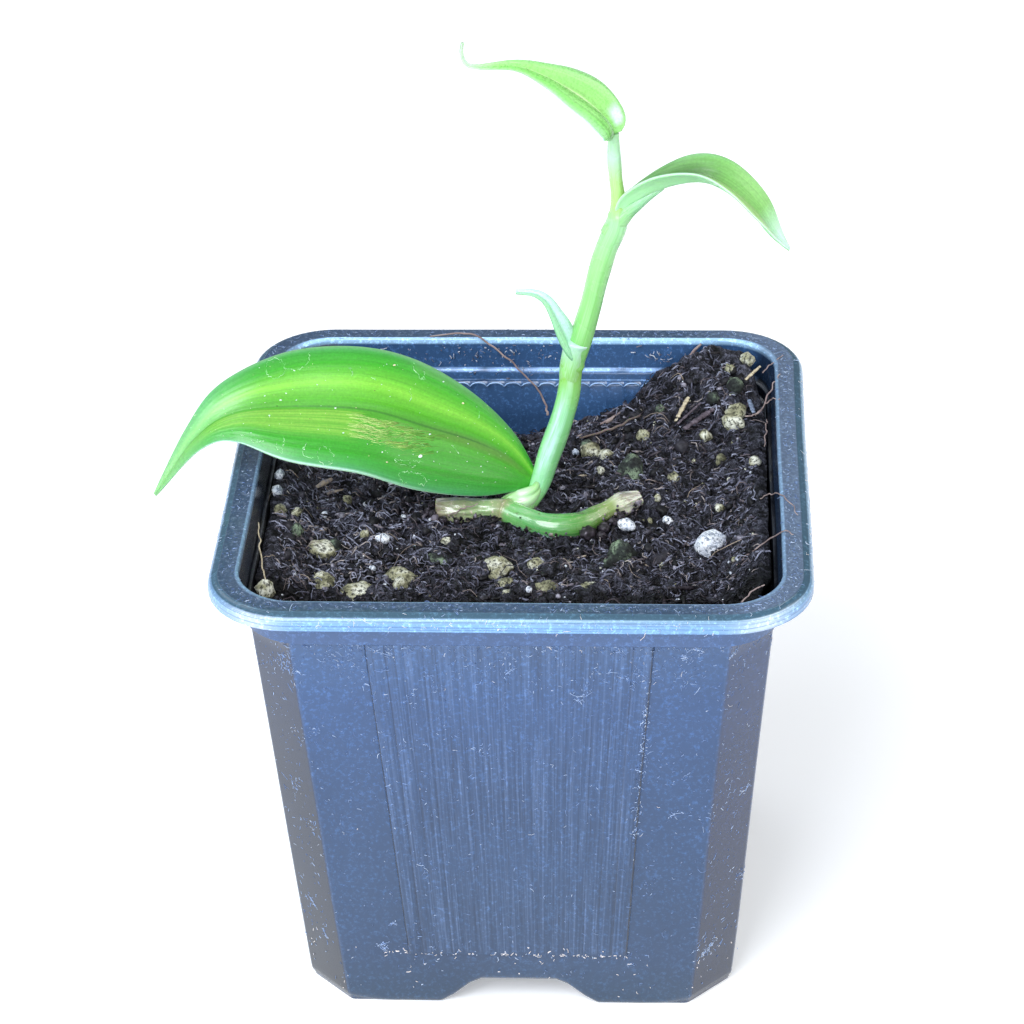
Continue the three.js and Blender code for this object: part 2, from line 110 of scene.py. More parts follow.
camera = bpy.data.objects.new("camera", bpy.data.cameras.new("camera"))
bpy.context.scene.collection.objects.link(camera)
camera.data.sensor_width = SENSOR
camera.data.lens = FOCAL_PIXELS / IMAGE_SIDE * SENSOR
forward = Vector((math.sin(CAMERA_YAW), math.cos(CAMERA_YAW), 0)) * math.cos(CAMERA_PITCH)
forward.z = -math.sin(CAMERA_PITCH)
level = Vector((math.cos(CAMERA_YAW), -math.sin(CAMERA_YAW), 0))
over = level.cross(forward)
right = math.cos(CAMERA_ROLL) * level + math.sin(CAMERA_ROLL) * over
above = math.cos(CAMERA_ROLL) * over - math.sin(CAMERA_ROLL) * level
facing = Matrix((right, above, -forward)).transposed().to_4x4()
camera.matrix_world = Matrix.Translation(CAMERA_PLACE) @ facing
bpy.context.scene.camera = camera
bpy.context.scene.view_settings.view_transform = "Standard"

room = bpy.data.worlds.new("room")
room.use_nodes = True
tree = room.node_tree
sky = add(tree, "SeparateXYZ", {"Vector": add(tree, "TexCoord", out="Generated")}, None)
towards_back = add(tree, "MapRange", {"Value": sky["Y"], "From Min": -0.2, "From Max": 0.7})
walls = add(tree, "Mix", {"Factor": towards_back, 6: "#eef4fb", 7: "#a3afbe"}, 2, data_type="RGBA")
tree.links.new(walls, tree.nodes["Background"].inputs["Color"])
tree.nodes["Background"].inputs["Strength"].default_value = 0.6
bpy.context.scene.world = room

for name, place, wide, high, power, colour in (
    ("window_front", (-0.35, -0.75, 0.95), 0.6, 0.6, 12, "#f3f8ff"),
    ("window_left", (-0.85, -0.32, 0.75), 0.45, 0.45, 4, "#e9f3ff"),
    ("low_window", (-0.12, -1.2, 0.34), 1.2, 0.16, 6, "#eef6ff"),
    ("soft_light_right", (0.9, 0.1, 0.7), 0.7, 0.7, 4, "#fff8ee"),
    ("soft_light_back", (-0.5, 0.8, 1.1), 0.7, 0.7, 3, "#eef4ff"),
):
    light = bpy.data.objects.new(name, bpy.data.lights.new(name, "AREA"))
    bpy.context.scene.collection.objects.link(light)
    light.data.shape = "RECTANGLE"
    light.data.size = wide
    light.data.size_y = high
    light.data.energy = power
    light.data.color = linear(colour)[:3]
    light.location = place
    light.rotation_euler = (Vector((0, 0, 0.07)) - light.location).to_track_quat("-Z", "Y").to_euler()

TABLE_HALF = 3.0
table = bpy.data.objects.new("table", bpy.data.meshes.new("table"))
corners = [(-1, -1), (1, -1), (1, 1), (-1, 1)]
table.data.from_pydata([(TABLE_HALF * x, TABLE_HALF * y, 0) for x, y in corners], [], [(0, 1, 2, 3)])
bpy.context.scene.collection.objects.link(table)
melamine, tree, shader = new_material("white_melamine")
shader.inputs["Base Color"].default_value = linear("#f3f3f2")
shader.inputs["Roughness"].default_value = 0.6
shader.inputs["Emission Color"].default_value = linear("#ffffff")
shader.inputs["Emission Strength"].default_value = 0.3
table.data.materials.append(melamine)

# Pot
# A square nursery pot of dark blue-grey polypropylene, thin and slightly limp. It is injection moulded in
# one shot: a flange with a turned-down lip, a round-cornered neck, cut corners, a comb-like fluted panel
# on each face, and a base with two crossing drain channels, four holes and a pad in the middle.
RIM_HALF = 45
POT_HEIGHT = 80
WALL = 1.0
MOUTH_HALF = 40.4
RIM_CORNER = 12.8
NECK_HALF, NECK_CORNER = 40.2, 9.8
SHELF_Z = 71.8
BODY_BOTTOM_HALF, BODY_TOP_HALF = 33.75, 39.2
CUT = 6.6  # how far each cut corner runs along a side
CUT_EDGE = 1.2  # radius of the cut corner's edges
LIP_BOTTOM = 77.35
SHOULDER = 1.5
ARCH_HEIGHT, ARCH_TOP_HALF, ARCH_BOTTOM_HALF = 4.6, 6.0, 12.7
ARCH_FADE = 10.0  # height over which the moulded rows level out above the arch
PANEL_BOTTOM, PANEL_TOP_HALF, PANEL_BOTTOM_HALF, PANEL_RAISE = 10.4, 21.3, 17.0, 0.5
GROOVES, GROOVE_DEPTH, GROOVE_HALF = 16, 0.2, 0.3
FOOT_LIFT = 0.9  # of the bottom edge at the cut corners
DRAIN_RADIUS, DRAIN_DISTANCE = 3.5, 21
PAD_RADIUS = 8
HALF_EIGHTH = math.tan(math.pi / 8)  # tangent length of a 45 degree fillet of radius 1


def lattice(points, size, seed=0):
    """Smooth random values from -1 to 1 at points, with one random value for each cell of that size."""
    scaled = np.asarray(points, float) / size + 37.7 * seed + 0.5
    cell = np.floor(scaled).astype(np.int64)
    inside = scaled - cell
    inside = inside * inside * (3 - 2 * inside)
    total = np.zeros(len(scaled))
    for corner in product((0, 1), repeat=cell.shape[1]):
        key = np.zeros(len(cell), np.int64)
        for axis, prime in enumerate((73856093, 19349663, 83492791)[: cell.shape[1]]):
            key ^= (cell[:, axis] + corner[axis]) * prime
        key = (key & 0xFFFFFF) * 1103515245 + 12345
        key = ((key >> 7) ^ (key >> 19)) & 0xFFFF
        weight = np.where(corner, inside, 1 - inside).prod(axis=1)
        total += weight * (key / 32767.5 - 1)
    return total


def rough(points, size, octaves, seed=0):
    """Several sizes of lattice noise, each half as coarse and half as strong as the one before."""
    return sum(lattice(points, size / 2**i, seed + i) / 2**i for i in range(octaves))


def make_piece(name, points, faces, material, smooth_angle=None):
    """A mesh piece with points in millimetres, which rides on the pot's body."""
    mesh = bpy.data.meshes.new(name)
    mesh.from_pydata((np.asarray(points, float) * MM).tolist(), [], faces)
    piece = bpy.data.objects.new(name, mesh)
    bpy.context.scene.collection.objects.link(piece)
    mesh.shade_smooth()
    if smooth_angle:
        mesh.set_sharp_from_angle(angle=math.radians(smooth_angle))
    mesh.materials.append(material)
    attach(piece, "root")
    return piece


def ring_faces(rings, count, first=0):
    """The faces between rings of count points each, with both ends closed."""
    ring = np.arange(count)
    after = (ring + 1) % count
    faces = []
    for row in range(rings - 1):
        low = first + row * count
        quads = np.stack([low + ring, low + after, low + count + after, low + count + ring], 1)
        faces += quads.tolist()
    last = first + (rings - 1) * count
    return faces + [(first + ring[::-1]).tolist(), (last + ring).tolist()]


def arch(across):
    """Height of the notch and drain channel at a place across it."""
    share = np.clip((ARCH_BOTTOM_HALF - np.abs(across)) / (ARCH_BOTTOM_HALF - ARCH_TOP_HALF), 0, 1)
    return ARCH_HEIGHT * (0.35 * share + 0.65 * share * share * (3 - 2 * share))


def body_half(z):
    return BODY_BOTTOM_HALF + (BODY_TOP_HALF - BODY_BOTTOM_HALF) * z / SHELF_Z


def panel_half(z):
    """Half the width of the fluted panel at a height."""
    share = np.maximum(z - PANEL_BOTTOM, 0) / (SHELF_Z - PANEL_BOTTOM)
    return PANEL_BOTTOM_HALF + (PANEL_TOP_HALF - PANEL_BOTTOM_HALF) * share


def panel_places():
    """Places across the panel, from -1 to 1, with five round each groove and its two edges."""
    middle = np.linspace(-1, 1, GROOVES)
    step = np.array([-1, -0.45, 0, 0.45, 1]) * GROOVE_HALF / PANEL_TOP_HALF
    return np.unique(np.clip((middle[:, None] + step).ravel(), -1, 1))


PANEL_PLACES = panel_places()
PLAIN_STEPS = 7  # points on each side of the panel
ARC_STEPS = 6  # points on each fillet of a corner


def pot_ring(half, cut, fillet, z, relief=0.0, arched=0.0):
    """One level of the pot, as points all round it. relief is how much of the panel shows, and arched how
    much the level follows the arches in the bottom edge."""
    end = half - cut - fillet * HALF_EIGHTH
    edge = min(panel_half(z), 0.8 * end)
    plain = np.linspace(edge + 0.25, end, PLAIN_STEPS)
    x = np.concatenate([-plain[::-1], PANEL_PLACES * edge, plain])
    middle = np.linspace(-1, 1, GROOVES)
    depth = GROOVE_DEPTH * (0.25 + 0.75 * middle**4)
    away = np.abs(x[:, None] - middle * edge)
    groove = (depth * np.exp(-((away / (0.55 * GROOVE_HALF)) ** 2))).max(axis=1)
    raised = np.where(np.abs(x) <= edge, PANEL_RAISE - groove, 0)
    y = -half - relief * raised
    foot = np.clip((np.abs(x) - end + 6) / 6, 0, 1)
    level = z + arched * (arch(x) + FOOT_LIFT * foot * foot)
    turns = np.linspace(-math.pi / 2, -math.pi / 4, ARC_STEPS + 1)[1:]
    near = np.stack([end + fillet * np.cos(turns), -(half - fillet) + fillet * np.sin(turns)], 1)
    turns = np.linspace(-math.pi / 4, 0, ARC_STEPS + 1)[:-1]
    far = np.stack([half - fillet + fillet * np.cos(turns), -end + fillet * np.sin(turns)], 1)
    flat = np.concatenate([np.stack([x, y], 1), near, far])
    heights = np.concatenate([level, np.full(2 * ARC_STEPS, z + arched * FOOT_LIFT)])
    sides = []
    for quarter in range(4):
        c, s = ((1, 0), (0, 1), (-1, 0), (0, -1))[quarter]
        turned = flat @ np.array([[c, s], [-s, c]])
        sides.append(np.column_stack([turned, heights]))
    return np.concatenate(sides)


def base_ring(share, half, lift):
    """A level of the base, shrunk towards the axis, that follows the crossing drain channels."""
    ring = pot_ring(half, CUT, CUT_EDGE, 0)
    ring[:, :2] *= share
    ring[:, 2] = np.maximum(arch(ring[:, 0]), arch(ring[:, 1])) + lift
    return ring


def round_ring(half, corner, z):
    """A level with fully rounded corners."""
    return pot_ring(half, corner * (1 - HALF_EIGHTH), corner, z)


def pot_levels():
    """All levels of the pot's skin, with the finish of each: under the base, up the outside, over the rim
    and down inside."""
    low_half = BODY_BOTTOM_HALF - 0.45
    levels = [("under", base_ring(share, low_half, 0)) for share in np.linspace(0.01, 1, 32)]
    for z, inset in ((0.12, 0.22), (0.45, 0.04)):
        levels.append(("wall", pot_ring(body_half(z) - inset, CUT, CUT_EDGE, z, arched=1)))
    for z in (1.2, 2.5, 4, 6, 8, ARCH_FADE):
        levels.append(("wall", pot_ring(body_half(z), CUT, CUT_EDGE, z, arched=1 - z / ARCH_FADE)))
    for z, relief in ((PANEL_BOTTOM - 0.12, 0), (PANEL_BOTTOM, 0.25), (PANEL_BOTTOM + 0.18, 1)):
        levels.append(("wall", pot_ring(body_half(z), CUT, CUT_EDGE, z, relief)))
    for z in np.linspace(PANEL_BOTTOM + 1, SHELF_Z - 0.25, 18):
        levels.append(("panel", pot_ring(body_half(z), CUT, CUT_EDGE, z, 1)))
    neck_cut = NECK_CORNER * (1 - HALF_EIGHTH)
    levels.append(("wall", pot_ring(BODY_TOP_HALF + 0.06, CUT, CUT_EDGE, SHELF_Z - 0.06, 1)))
    for share in (0.35, 0.7, 1):
        fillet = CUT_EDGE + (NECK_CORNER - CUT_EDGE) * share
        cut = CUT + (neck_cut - CUT) * share
        half = BODY_TOP_HALF + 0.06 + (NECK_HALF - BODY_TOP_HALF) * share
        levels.append(("neck", pot_ring(half, cut, fillet, SHELF_Z + 0.35 * share, 1 - share)))
    under = POT_HEIGHT - WALL - 0.1
    for half, z in ((NECK_HALF + 0.1, 73.4), (NECK_HALF + 0.8, 77.4), (NECK_HALF + 1.2, under)):
        levels.append(("neck", round_ring(half, NECK_CORNER, z)))
    for half, z in ((RIM_HALF - WALL, under), (RIM_HALF - WALL, LIP_BOTTOM + 0.1)):
        levels.append(("neck", round_ring(half, RIM_CORNER - WALL, z)))
    for inset, z in ((0.8, 0), (0.25, 0), (0.04, 0.12), (0.0, 0.3), (0.06, 0.55), (0.0, 0.75), (0.0, 1.15)):
        levels.append(("lip", round_ring(RIM_HALF - inset, RIM_CORNER - inset, LIP_BOTTOM + z)))
    for turn in np.linspace(8, 84, 9):
        inset = SHOULDER * (1 - math.cos(math.radians(turn)))
        z = POT_HEIGHT - SHOULDER * (1 - math.sin(math.radians(turn))) - 0.14
        finish = "lip" if turn < 22 else "shoulder" if turn < 52 else "crease"
        levels.append((finish, round_ring(RIM_HALF - inset, RIM_CORNER - inset, z)))
    crease = RIM_HALF - SHOULDER + 0.1
    for inset, z in ((0, -0.12), (0.1, -0.02)):
        levels.append(("crease", round_ring(crease - inset, RIM_CORNER - SHOULDER - inset, POT_HEIGHT + z)))
    for inset, z in ((0.22, 0.0), (0.4, -0.06), (1.6, -0.05), (2.6, -0.02)):
        levels.append(("flange", round_ring(crease - inset, RIM_CORNER - SHOULDER - inset, POT_HEIGHT + z)))
    for turn in np.radians(np.linspace(80, 0, 6)):
        half = MOUTH_HALF + 0.5 * (1 - math.cos(turn))
        z = POT_HEIGHT - 0.5 + 0.5 * math.sin(turn)
        levels.append(("mouth", round_ring(half, NECK_CORNER - 0.6, z)))
    for finish, half, z in (
        ("mouth", MOUTH_HALF - 0.03, 79.3),
        ("inside", MOUTH_HALF - 0.06, 78.9),
        ("inside", MOUTH_HALF - 0.25, 77.5),
        ("inside", MOUTH_HALF - 0.5, 75.0),
        ("ledge", MOUTH_HALF - 0.55, 74.75),
        ("ledge", MOUTH_HALF - 0.72, 74.4),
        ("inside", MOUTH_HALF - 1.1, 74.2),
        ("inside", NECK_HALF - WALL - 0.02, 73.9),
        ("inside", NECK_HALF - WALL - 0.08, 73.1),
        ("ledge", NECK_HALF - WALL - 0.1, 73.05),
    ):
        levels.append((finish, round_ring(half, NECK_CORNER - WALL, z)))
    deep_cut = CUT - 0.6 * WALL
    for inset, z, relief in ((0.25, 72.6, 0.3), (0.75, 72.4, 1), (WALL, 72.0, 1), (WALL, 66, 1)):
        levels.append(("inside", pot_ring(BODY_TOP_HALF + 0.1 - inset, deep_cut, CUT_EDGE, z, relief)))
    for z in (58, 48, 36, 24, 14):
        levels.append(("inside", pot_ring(body_half(z) - WALL, deep_cut, CUT_EDGE, z, 1)))
    levels.append(("inside", pot_ring(body_half(9) - WALL, deep_cut, CUT_EDGE, 9)))
    for share in np.linspace(1, 0.01, 14):
        levels.append(("inside", base_ring(share, BODY_BOTTOM_HALF - WALL, WALL + 0.2)))
    return levels


def warped(points):
    """The thin walls and the flange have warped a little as they cooled."""
    points = np.array(points, float)
    soft = np.clip(points[:, 2] / 12, 0, 1)
    for axis, strength in ((0, 0.16), (1, 0.16), (2, 0.1)):
        points[:, axis] += strength * soft * lattice(points, 30, 3 + axis)
    return points


# Zone colours: the lip, shoulder and mouth edge are painted highlights, the inside is painted shade
POT_COLOURS_AND_PAINTED_LIGHT = {
    "under": "#22304a",
    "neck": "#3a547d",
    "lip": "#6c94bd",
    "shoulder": "#7a9eb8",
    "crease": "#3a5566",
    "flange": "#2c4058",
    "mouth": "#56697f",
    "inside": "#0b0d13",
    "ledge": "#0d1017",
}
WALL_TONES = (  # colours of the plain wall at some heights
    (0, "#22384f"), (10, "#243a57"), (22, "#233b5a"), (42, "#233d60"), (60, "#27436b"), (71, "#314d74"),
)
CORNER_TONES = {  # darker colours for the cut corners, darkest on the left ones
    -1: ((0, "#11131b"), (40, "#111727"), (71, "#0e1a34")),
    1: ((0, "#182035"), (40, "#192443"), (71, "#142f58")),
}
# The back wall inside faces the light: painted lighter, with painted highlights on its mouth and ledges
BACK_WALL_PAINTED_LIGHT = {"mouth": "#a4cdf2", "inside": "#35537b", "ledge": "#9cc3fa"}  # painted light
DUSTY_FLANGE = "#5d6b80"
EDGE_WEAR_AND_HIGHLIGHT = "#6f87b2"
DRY_DIRT = "#55565a"


def tone_at(tones, height):
    """The colours at some heights, from named ones at a few."""
    steps = [step for step, colour in tones]
    parts = np.array([linear(colour) for step, colour in tones]).T
    return np.stack([np.interp(height, steps, part) for part in parts], -1)


def paint_pot(pot, levels):
    """Stores what the plastic's patterns need at each point: the skin's colour with its painted highlights
    and shade, the shares of comb, lip and flange, and the place across and up the fluted panel."""
    size = len(levels[0][1])
    plain = np.zeros(size // 4 - 2 * ARC_STEPS)
    turn = np.linspace(0, 1, ARC_STEPS)
    corner_share = np.tile(np.concatenate([plain, np.clip(3 * turn - 1, 0, 1), np.clip(2 - 3 * turn, 0, 1)]), 4)
    edge = np.tile(np.concatenate([plain, 1 - np.abs(2 * turn - 1), 1 - np.abs(2 * turn - 1)]), 4)
    middle = np.isclose(np.abs(PANEL_PLACES[:, None] - np.linspace(-1, 1, GROOVES)).min(axis=1), 0)
    groove = (0.3 + 0.7 * np.abs(PANEL_PLACES) ** 3) * middle
    groove[0] = 1  # the panel's left edge is one line of painted shade from top to bottom
    around, corner = np.zeros(PLAIN_STEPS), np.zeros(2 * ARC_STEPS)
    comb = np.tile(np.concatenate([around, np.abs(PANEL_PLACES) < 1, around, corner]), 4)
    dark = np.tile(np.concatenate([around, groove, around, corner]), 4)
    side = np.repeat(np.arange(4), size // 4)

    skin, zones, flutes = [], [], []
    for number, (finish, ring) in enumerate(levels):
        across = ring[:, 0] * np.array((1, 0, -1, 0))[side] + ring[:, 1] * np.array((0, 1, 0, -1))[side]
        run = 20 * across / panel_half(ring[:, 2]) + 60 * side
        flutes.append(np.column_stack([run, ring[:, 2], np.zeros(size)]))
        outside = finish in ("wall", "panel")
        if outside:
            colour = tone_at(WALL_TONES, ring[:, 2])
            left = ring[:, :1] < 0
            # The cut corners get darker colours, the left ones most
            corner_tone = np.where(left, tone_at(CORNER_TONES[-1], ring[:, 2]), tone_at(CORNER_TONES[1], ring[:, 2]))
            colour += (corner_tone - colour) * 0.9 * corner_share[:, None]
            # The rounded edges of the cut corners: a little wear, and a painted highlight
            colour += (np.array(linear(EDGE_WEAR_AND_HIGHLIGHT)) - colour) * 0.1 * edge[:, None]
        else:
            colour = np.repeat([linear(POT_COLOURS_AND_PAINTED_LIGHT[finish])], size, axis=0)
        # Painted light on the back wall inside, and painted highlights on its mouth edge and ledges
        if finish in BACK_WALL_PAINTED_LIGHT:
            lit_back = np.clip((ring[:, 1] - np.abs(ring[:, 0])) / 4 + 0.4, 0, 1)
            lit_back += 0.25 * (ring[:, 2] > 74.9) * (1 - lit_back)
            if finish == "ledge":
                lit_back *= np.clip(0.7 + 0.8 * lattice(ring, 2.5, 8), 0.2, 1)
            colour += (np.array(linear(BACK_WALL_PAINTED_LIGHT[finish])) - colour) * lit_back[:, None]
        if finish == "flange":
            dusty = np.clip((ring[:, :1] - 25) / 12, 0, 1)
            colour += (np.array(linear(DUSTY_FLANGE)) - colour) * 0.6 * dusty
        if finish == "inside":
            dirty = np.clip((-30 - ring[:, 0]) / 3, 0, 1) * np.clip(0.6 + 0.6 * lattice(ring, 6, 2), 0.1, 1)
            colour += (np.array(linear(DRY_DIRT)) - colour) * dirty[:, None]
        if finish in ("lip", "shoulder"):
            glint = np.exp(-(((np.abs(ring[:, 0]) - 37.5) / 3.5) ** 2)) * (ring[:, 1] < 0)
            colour += (1 - colour) * 0.35 * glint[:, None]
        # Painted shade in the panel's grooves and along its left edge
        if finish == "panel":
            faded = 0.6 + 0.6 * lattice(np.column_stack([3 * np.arange(size), np.full(size, 4 * number)]), 4)
            faded = np.where(dark == 1, 1, np.clip(faded, 0, 1))  # the panel's edges don't fade
            colour *= 1 - 0.75 * (dark * faded)[:, None]
        colour[:, 3] = 1
        skin.append(colour)
        shares = np.zeros((size, 3))
        shares[:, 0] = comb if finish == "panel" else 0
        shares[:, 1] = finish in ("lip", "shoulder")
        shares[:, 2] = finish == "flange"
        zones.append(shares)
    for name, kind, value, stored in (
        ("skin", "FLOAT_COLOR", "color", skin),
        ("zones", "FLOAT_VECTOR", "vector", zones),
        ("flutes", "FLOAT_VECTOR", "vector", flutes),
    ):
        pot.data.attributes.new(name, kind, "POINT").data.foreach_set(value, np.concatenate(stored).ravel())


def laid(tree, colour, value, start, end, zone, strength, tint):
    """Lays a tint over a colour where a value runs from start to end, as strongly as its zone shows."""
    where = add(tree, "MapRange", {"Value": value, "From Min": start, "From Max": end, "To Max": zone})
    where = add(tree, "Math", (where, strength), operation="MULTIPLY")
    return add(tree, "Mix", {"Factor": where, 6: colour, 7: tint}, 2, data_type="RGBA")


def polypropylene():
    """Injection moulded polypropylene: a satin skin, dark blue-grey, with faint flow lines that run down the
    fluted panels and round the lip. The top of the flange is dull with fine dust. Here and in the other
    materials, a noise scale of n / MM has n grains in a millimetre."""
    material, tree, shader = new_material("moulded_polypropylene")
    place = add(tree, "TexCoord", out="Object")
    colour = add(tree, "Attribute", out="Color", attribute_name="skin")
    zones = add(tree, "SeparateXYZ", (add(tree, "Attribute", out="Vector", attribute_name="zones"),), None)
    cloud = add(tree, "TexNoise", {"Vector": place, "Scale": 0.055 / MM, "Detail": 4, "Roughness": 0.65})
    colour = shaded(tree, colour, cloud, 0.9, 1.1)
    flutes = add(tree, "Attribute", out="Vector", attribute_name="flutes")
    flow = streaks(tree, flutes, (2.6, 0.035, 1), 3, 0.7)
    colour = laid(tree, colour, flow, 0.5, 0.72, zones["X"], 0.22, "#7f9ac8")
    colour = laid(tree, colour, flow, 0.46, 0.28, zones["X"], 0.55, "#101d30")
    specks = add(tree, "TexNoise", {"Vector": place, "Scale": 1.5 / MM, "Detail": 4, "Roughness": 0.8})
    limits = {"From Min": 0.52, "From Max": 0.72, "To Min": 1, "To Max": 2.3}
    brighter = add(tree, "MapRange", {"Value": specks, **limits})
    colour = add(tree, "VectorMath", {0: colour, "Scale": brighter}, operation="SCALE")
    hoops = streaks(tree, place, (16, 16, 4200), 2)
    colour = laid(tree, colour, hoops, 0.46, 0.6, zones["Y"], 0.5, "#38588a")
    dusty = add(tree, "TexNoise", {"Vector": place, "Scale": 1.3 / MM, "Detail": 3, "Roughness": 0.8})
    colour = laid(tree, colour, dusty, 0.5, 0.7, zones["Z"], 0.4, "#8fa2b8")
    tree.links.new(colour, shader.inputs["Base Color"])
    gloss = add(tree, "MapRange", {"Value": cloud, "To Min": 0.2, "To Max": 0.3})
    gloss = add(tree, "Math", (zones["Z"], 0.2, gloss), operation="MULTIPLY_ADD")
    tree.links.new(gloss, shader.inputs["Roughness"])
    shader.inputs["Coat Weight"].default_value = 0.2
    shader.inputs["Coat Roughness"].default_value = 0.12
    height = add(tree, "Math", (flow, zones["X"], cloud), operation="MULTIPLY_ADD")
    bump = add(tree, "Bump", {"Height": height, "Strength": 0.25, "Distance": 0.1 * MM})
    tree.links.new(bump, shader.inputs["Normal"])
    return material


def apply_modifiers(piece):
    """Replaces a piece's mesh by what its modifiers make of it."""
    made = bpy.data.meshes.new_from_object(piece.evaluated_get(bpy.context.evaluated_depsgraph_get()))
    piece.modifiers.clear()
    piece.data = made


def make_pot():
    """The shell, with its pad joined on and its four drain holes cut."""
    levels = pot_levels()
    points = warped(np.concatenate([ring for finish, ring in levels]))
    faces = ring_faces(len(levels), len(levels[0][1]))
    pot = make_piece("pot_shell", points, faces, polypropylene())
    paint_pot(pot, levels)
    tools = []
    for kind, radius, x, y, low, high in (
        ("UNION", PAD_RADIUS, 0, 0, 0, ARCH_HEIGHT + 0.5),
        ("DIFFERENCE", DRAIN_RADIUS, DRAIN_DISTANCE, 0, 3, 8),
        ("DIFFERENCE", DRAIN_RADIUS, -DRAIN_DISTANCE, 0, 3, 8),
        ("DIFFERENCE", DRAIN_RADIUS, 0, DRAIN_DISTANCE, 3, 8),
        ("DIFFERENCE", DRAIN_RADIUS, 0, -DRAIN_DISTANCE, 3, 8),
    ):
        turns = np.linspace(0, 2 * math.pi, 49)[:-1]
        circle = np.stack([x + radius * np.cos(turns), y + radius * np.sin(turns)], 1)
        disc = [np.column_stack([circle, np.full(48, float(z))]) for z in (low, high)]
        mesh = bpy.data.meshes.new("cutter")
        mesh.from_pydata((np.concatenate(disc) * MM).tolist(), [], ring_faces(2, 48))
        colours = linear(POT_COLOURS_AND_PAINTED_LIGHT["under"]) * len(mesh.vertices)
        mesh.attributes.new("skin", "FLOAT_COLOR", "POINT").data.foreach_set("color", colours)
        tool = bpy.data.objects.new("cutter", mesh)
        bpy.context.scene.collection.objects.link(tool)
        tools.append(tool)
        change = pot.modifiers.new("base", "BOOLEAN")
        change.operation = kind
        change.object = tool
        change.solver = "MANIFOLD"
    apply_modifiers(pot)
    for tool in tools:
        bpy.data.objects.remove(tool)
    pot.data.set_sharp_from_angle(angle=math.radians(38))
    return pot


pot = make_pot()
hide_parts("pot")

# Dust on the pot
# What has dried on the pot: curls and specks of limescale and potting dust that stick to its faces, thickest
# under the lip, at the right edge of each panel, along the panel's foot and on the flange.


def tag(piece, tones):
    """Stores a tone for each point, so that neighbours differ in colour."""
    stored = piece.data.attributes.get("tone") or piece.data.attributes.new("tone", "FLOAT", "POINT")
    stored.data.foreach_set("value", np.asarray(tones, float))


def toned(name, stops, roughness, coarse=1.0, bump_height=0.15):
    """A dull natural surface whose tone differs from bit to bit, with a fine grain."""
    material, tree, shader = new_material(name)
    tone = add(tree, "Attribute", out="Fac", attribute_name="tone")
    place = add(tree, "TexCoord", out="Object")
    grain = add(tree, "TexNoise", {"Vector": place, "Scale": 1.5 / coarse / MM, "Detail": 2})
    mixed = add(tree, "Math", (grain, 0.4, tone), operation="MULTIPLY_ADD")
    mixed = add(tree, "Math", (mixed, -0.2), operation="ADD")
    tree.links.new(add(tree, "ValToRGB", (mixed,), stops=stops), shader.inputs["Base Color"])
    shader.inputs["Roughness"].default_value = roughness
    shader.inputs["Specular IOR Level"].default_value = 0.3
    bump = add(tree, "Bump", {"Height": grain, "Strength": 0.7, "Distance": bump_height * MM})
    tree.links.new(bump, shader.inputs["Normal"])
    return material


def unit(vectors):
    return vectors / np.linalg.norm(vectors, axis=-1, keepdims=True)


def make_strands(name, places, radius, tones, material, tip=0.45):
    """Many thin fibres in one piece. places holds the points along each."""
    count, steps = places.shape[:2]
    way = unit(np.gradient(places, axis=1))
    side = unit(np.cross(way, np.array((0.13, 0.21, 1.0))))
    above = np.cross(side, way)
    thin = np.asarray(radius).reshape(-1, 1) * np.linspace(1, tip, steps)[None]
    turns = np.radians((90, 210, 330))
    ring = side[:, :, None] * np.cos(turns)[:, None] + above[:, :, None] * np.sin(turns)[:, None]
    points = places[:, :, None] + ring * thin[..., None, None]
    first = 3 * np.arange(steps - 1)[:, None] + np.arange(3)
    after = 3 * np.arange(steps - 1)[:, None] + (np.arange(3) + 1) % 3
    quads = np.stack([first, after, after + 3, first + 3], -1).reshape(-1, 4)
    ends = np.array([(2, 1, 0), (3 * steps - 3, 3 * steps - 2, 3 * steps - 1)])
    base = 3 * steps * np.arange(count)[:, None, None]
    faces = (quads + base).reshape(-1, 4).tolist() + (ends + base).reshape(-1, 3).tolist()
    piece = make_piece(name, points.reshape(-1, 3), faces, material)
    tag(piece, np.repeat(tones, 3 * steps))
    return piece


def ball():
    """Corners and faces of a small ball of twenty faces."""
    golden = (1 + math.sqrt(5)) / 2
    corners = [(-1, golden, 0), (1, golden, 0), (-1, -golden, 0), (1, -golden, 0)]
    corners += [(z, x, y) for x, y, z in corners] + [(y, z, x) for x, y, z in corners]
    corners = unit(np.array(corners, float))
    near = np.linalg.norm(corners[:, None] - corners[None], axis=2) < 1.1
    faces = []
    for a, b, c in combinations(range(12), 3):
        if near[a, b] and near[b, c] and near[a, c]:
            turn = np.cross(corners[b] - corners[a], corners[c] - corners[a]) @ corners[a]
            faces.append((a, b, c) if turn > 0 else (a, c, b))
    return corners, np.array(faces)


def finer_ball(points, faces):
    """The same ball with each face split in four."""
    points = list(points)
    middles = {}
    split = []
    for face in faces:
        halves = []
        for i in range(3):
            key = tuple(sorted((face[i], face[(i + 1) % 3])))
            if key not in middles:
                middles[key] = len(points)
                points.append(unit(points[key[0]] + points[key[1]]))
            halves.append(middles[key])
        split += [(face[i], halves[i], halves[i - 1]) for i in range(3)] + [tuple(halves)]
    return np.array(points), np.array(split)


COARSE_BALL = ball()
FINE_BALL = finer_ball(*COARSE_BALL)


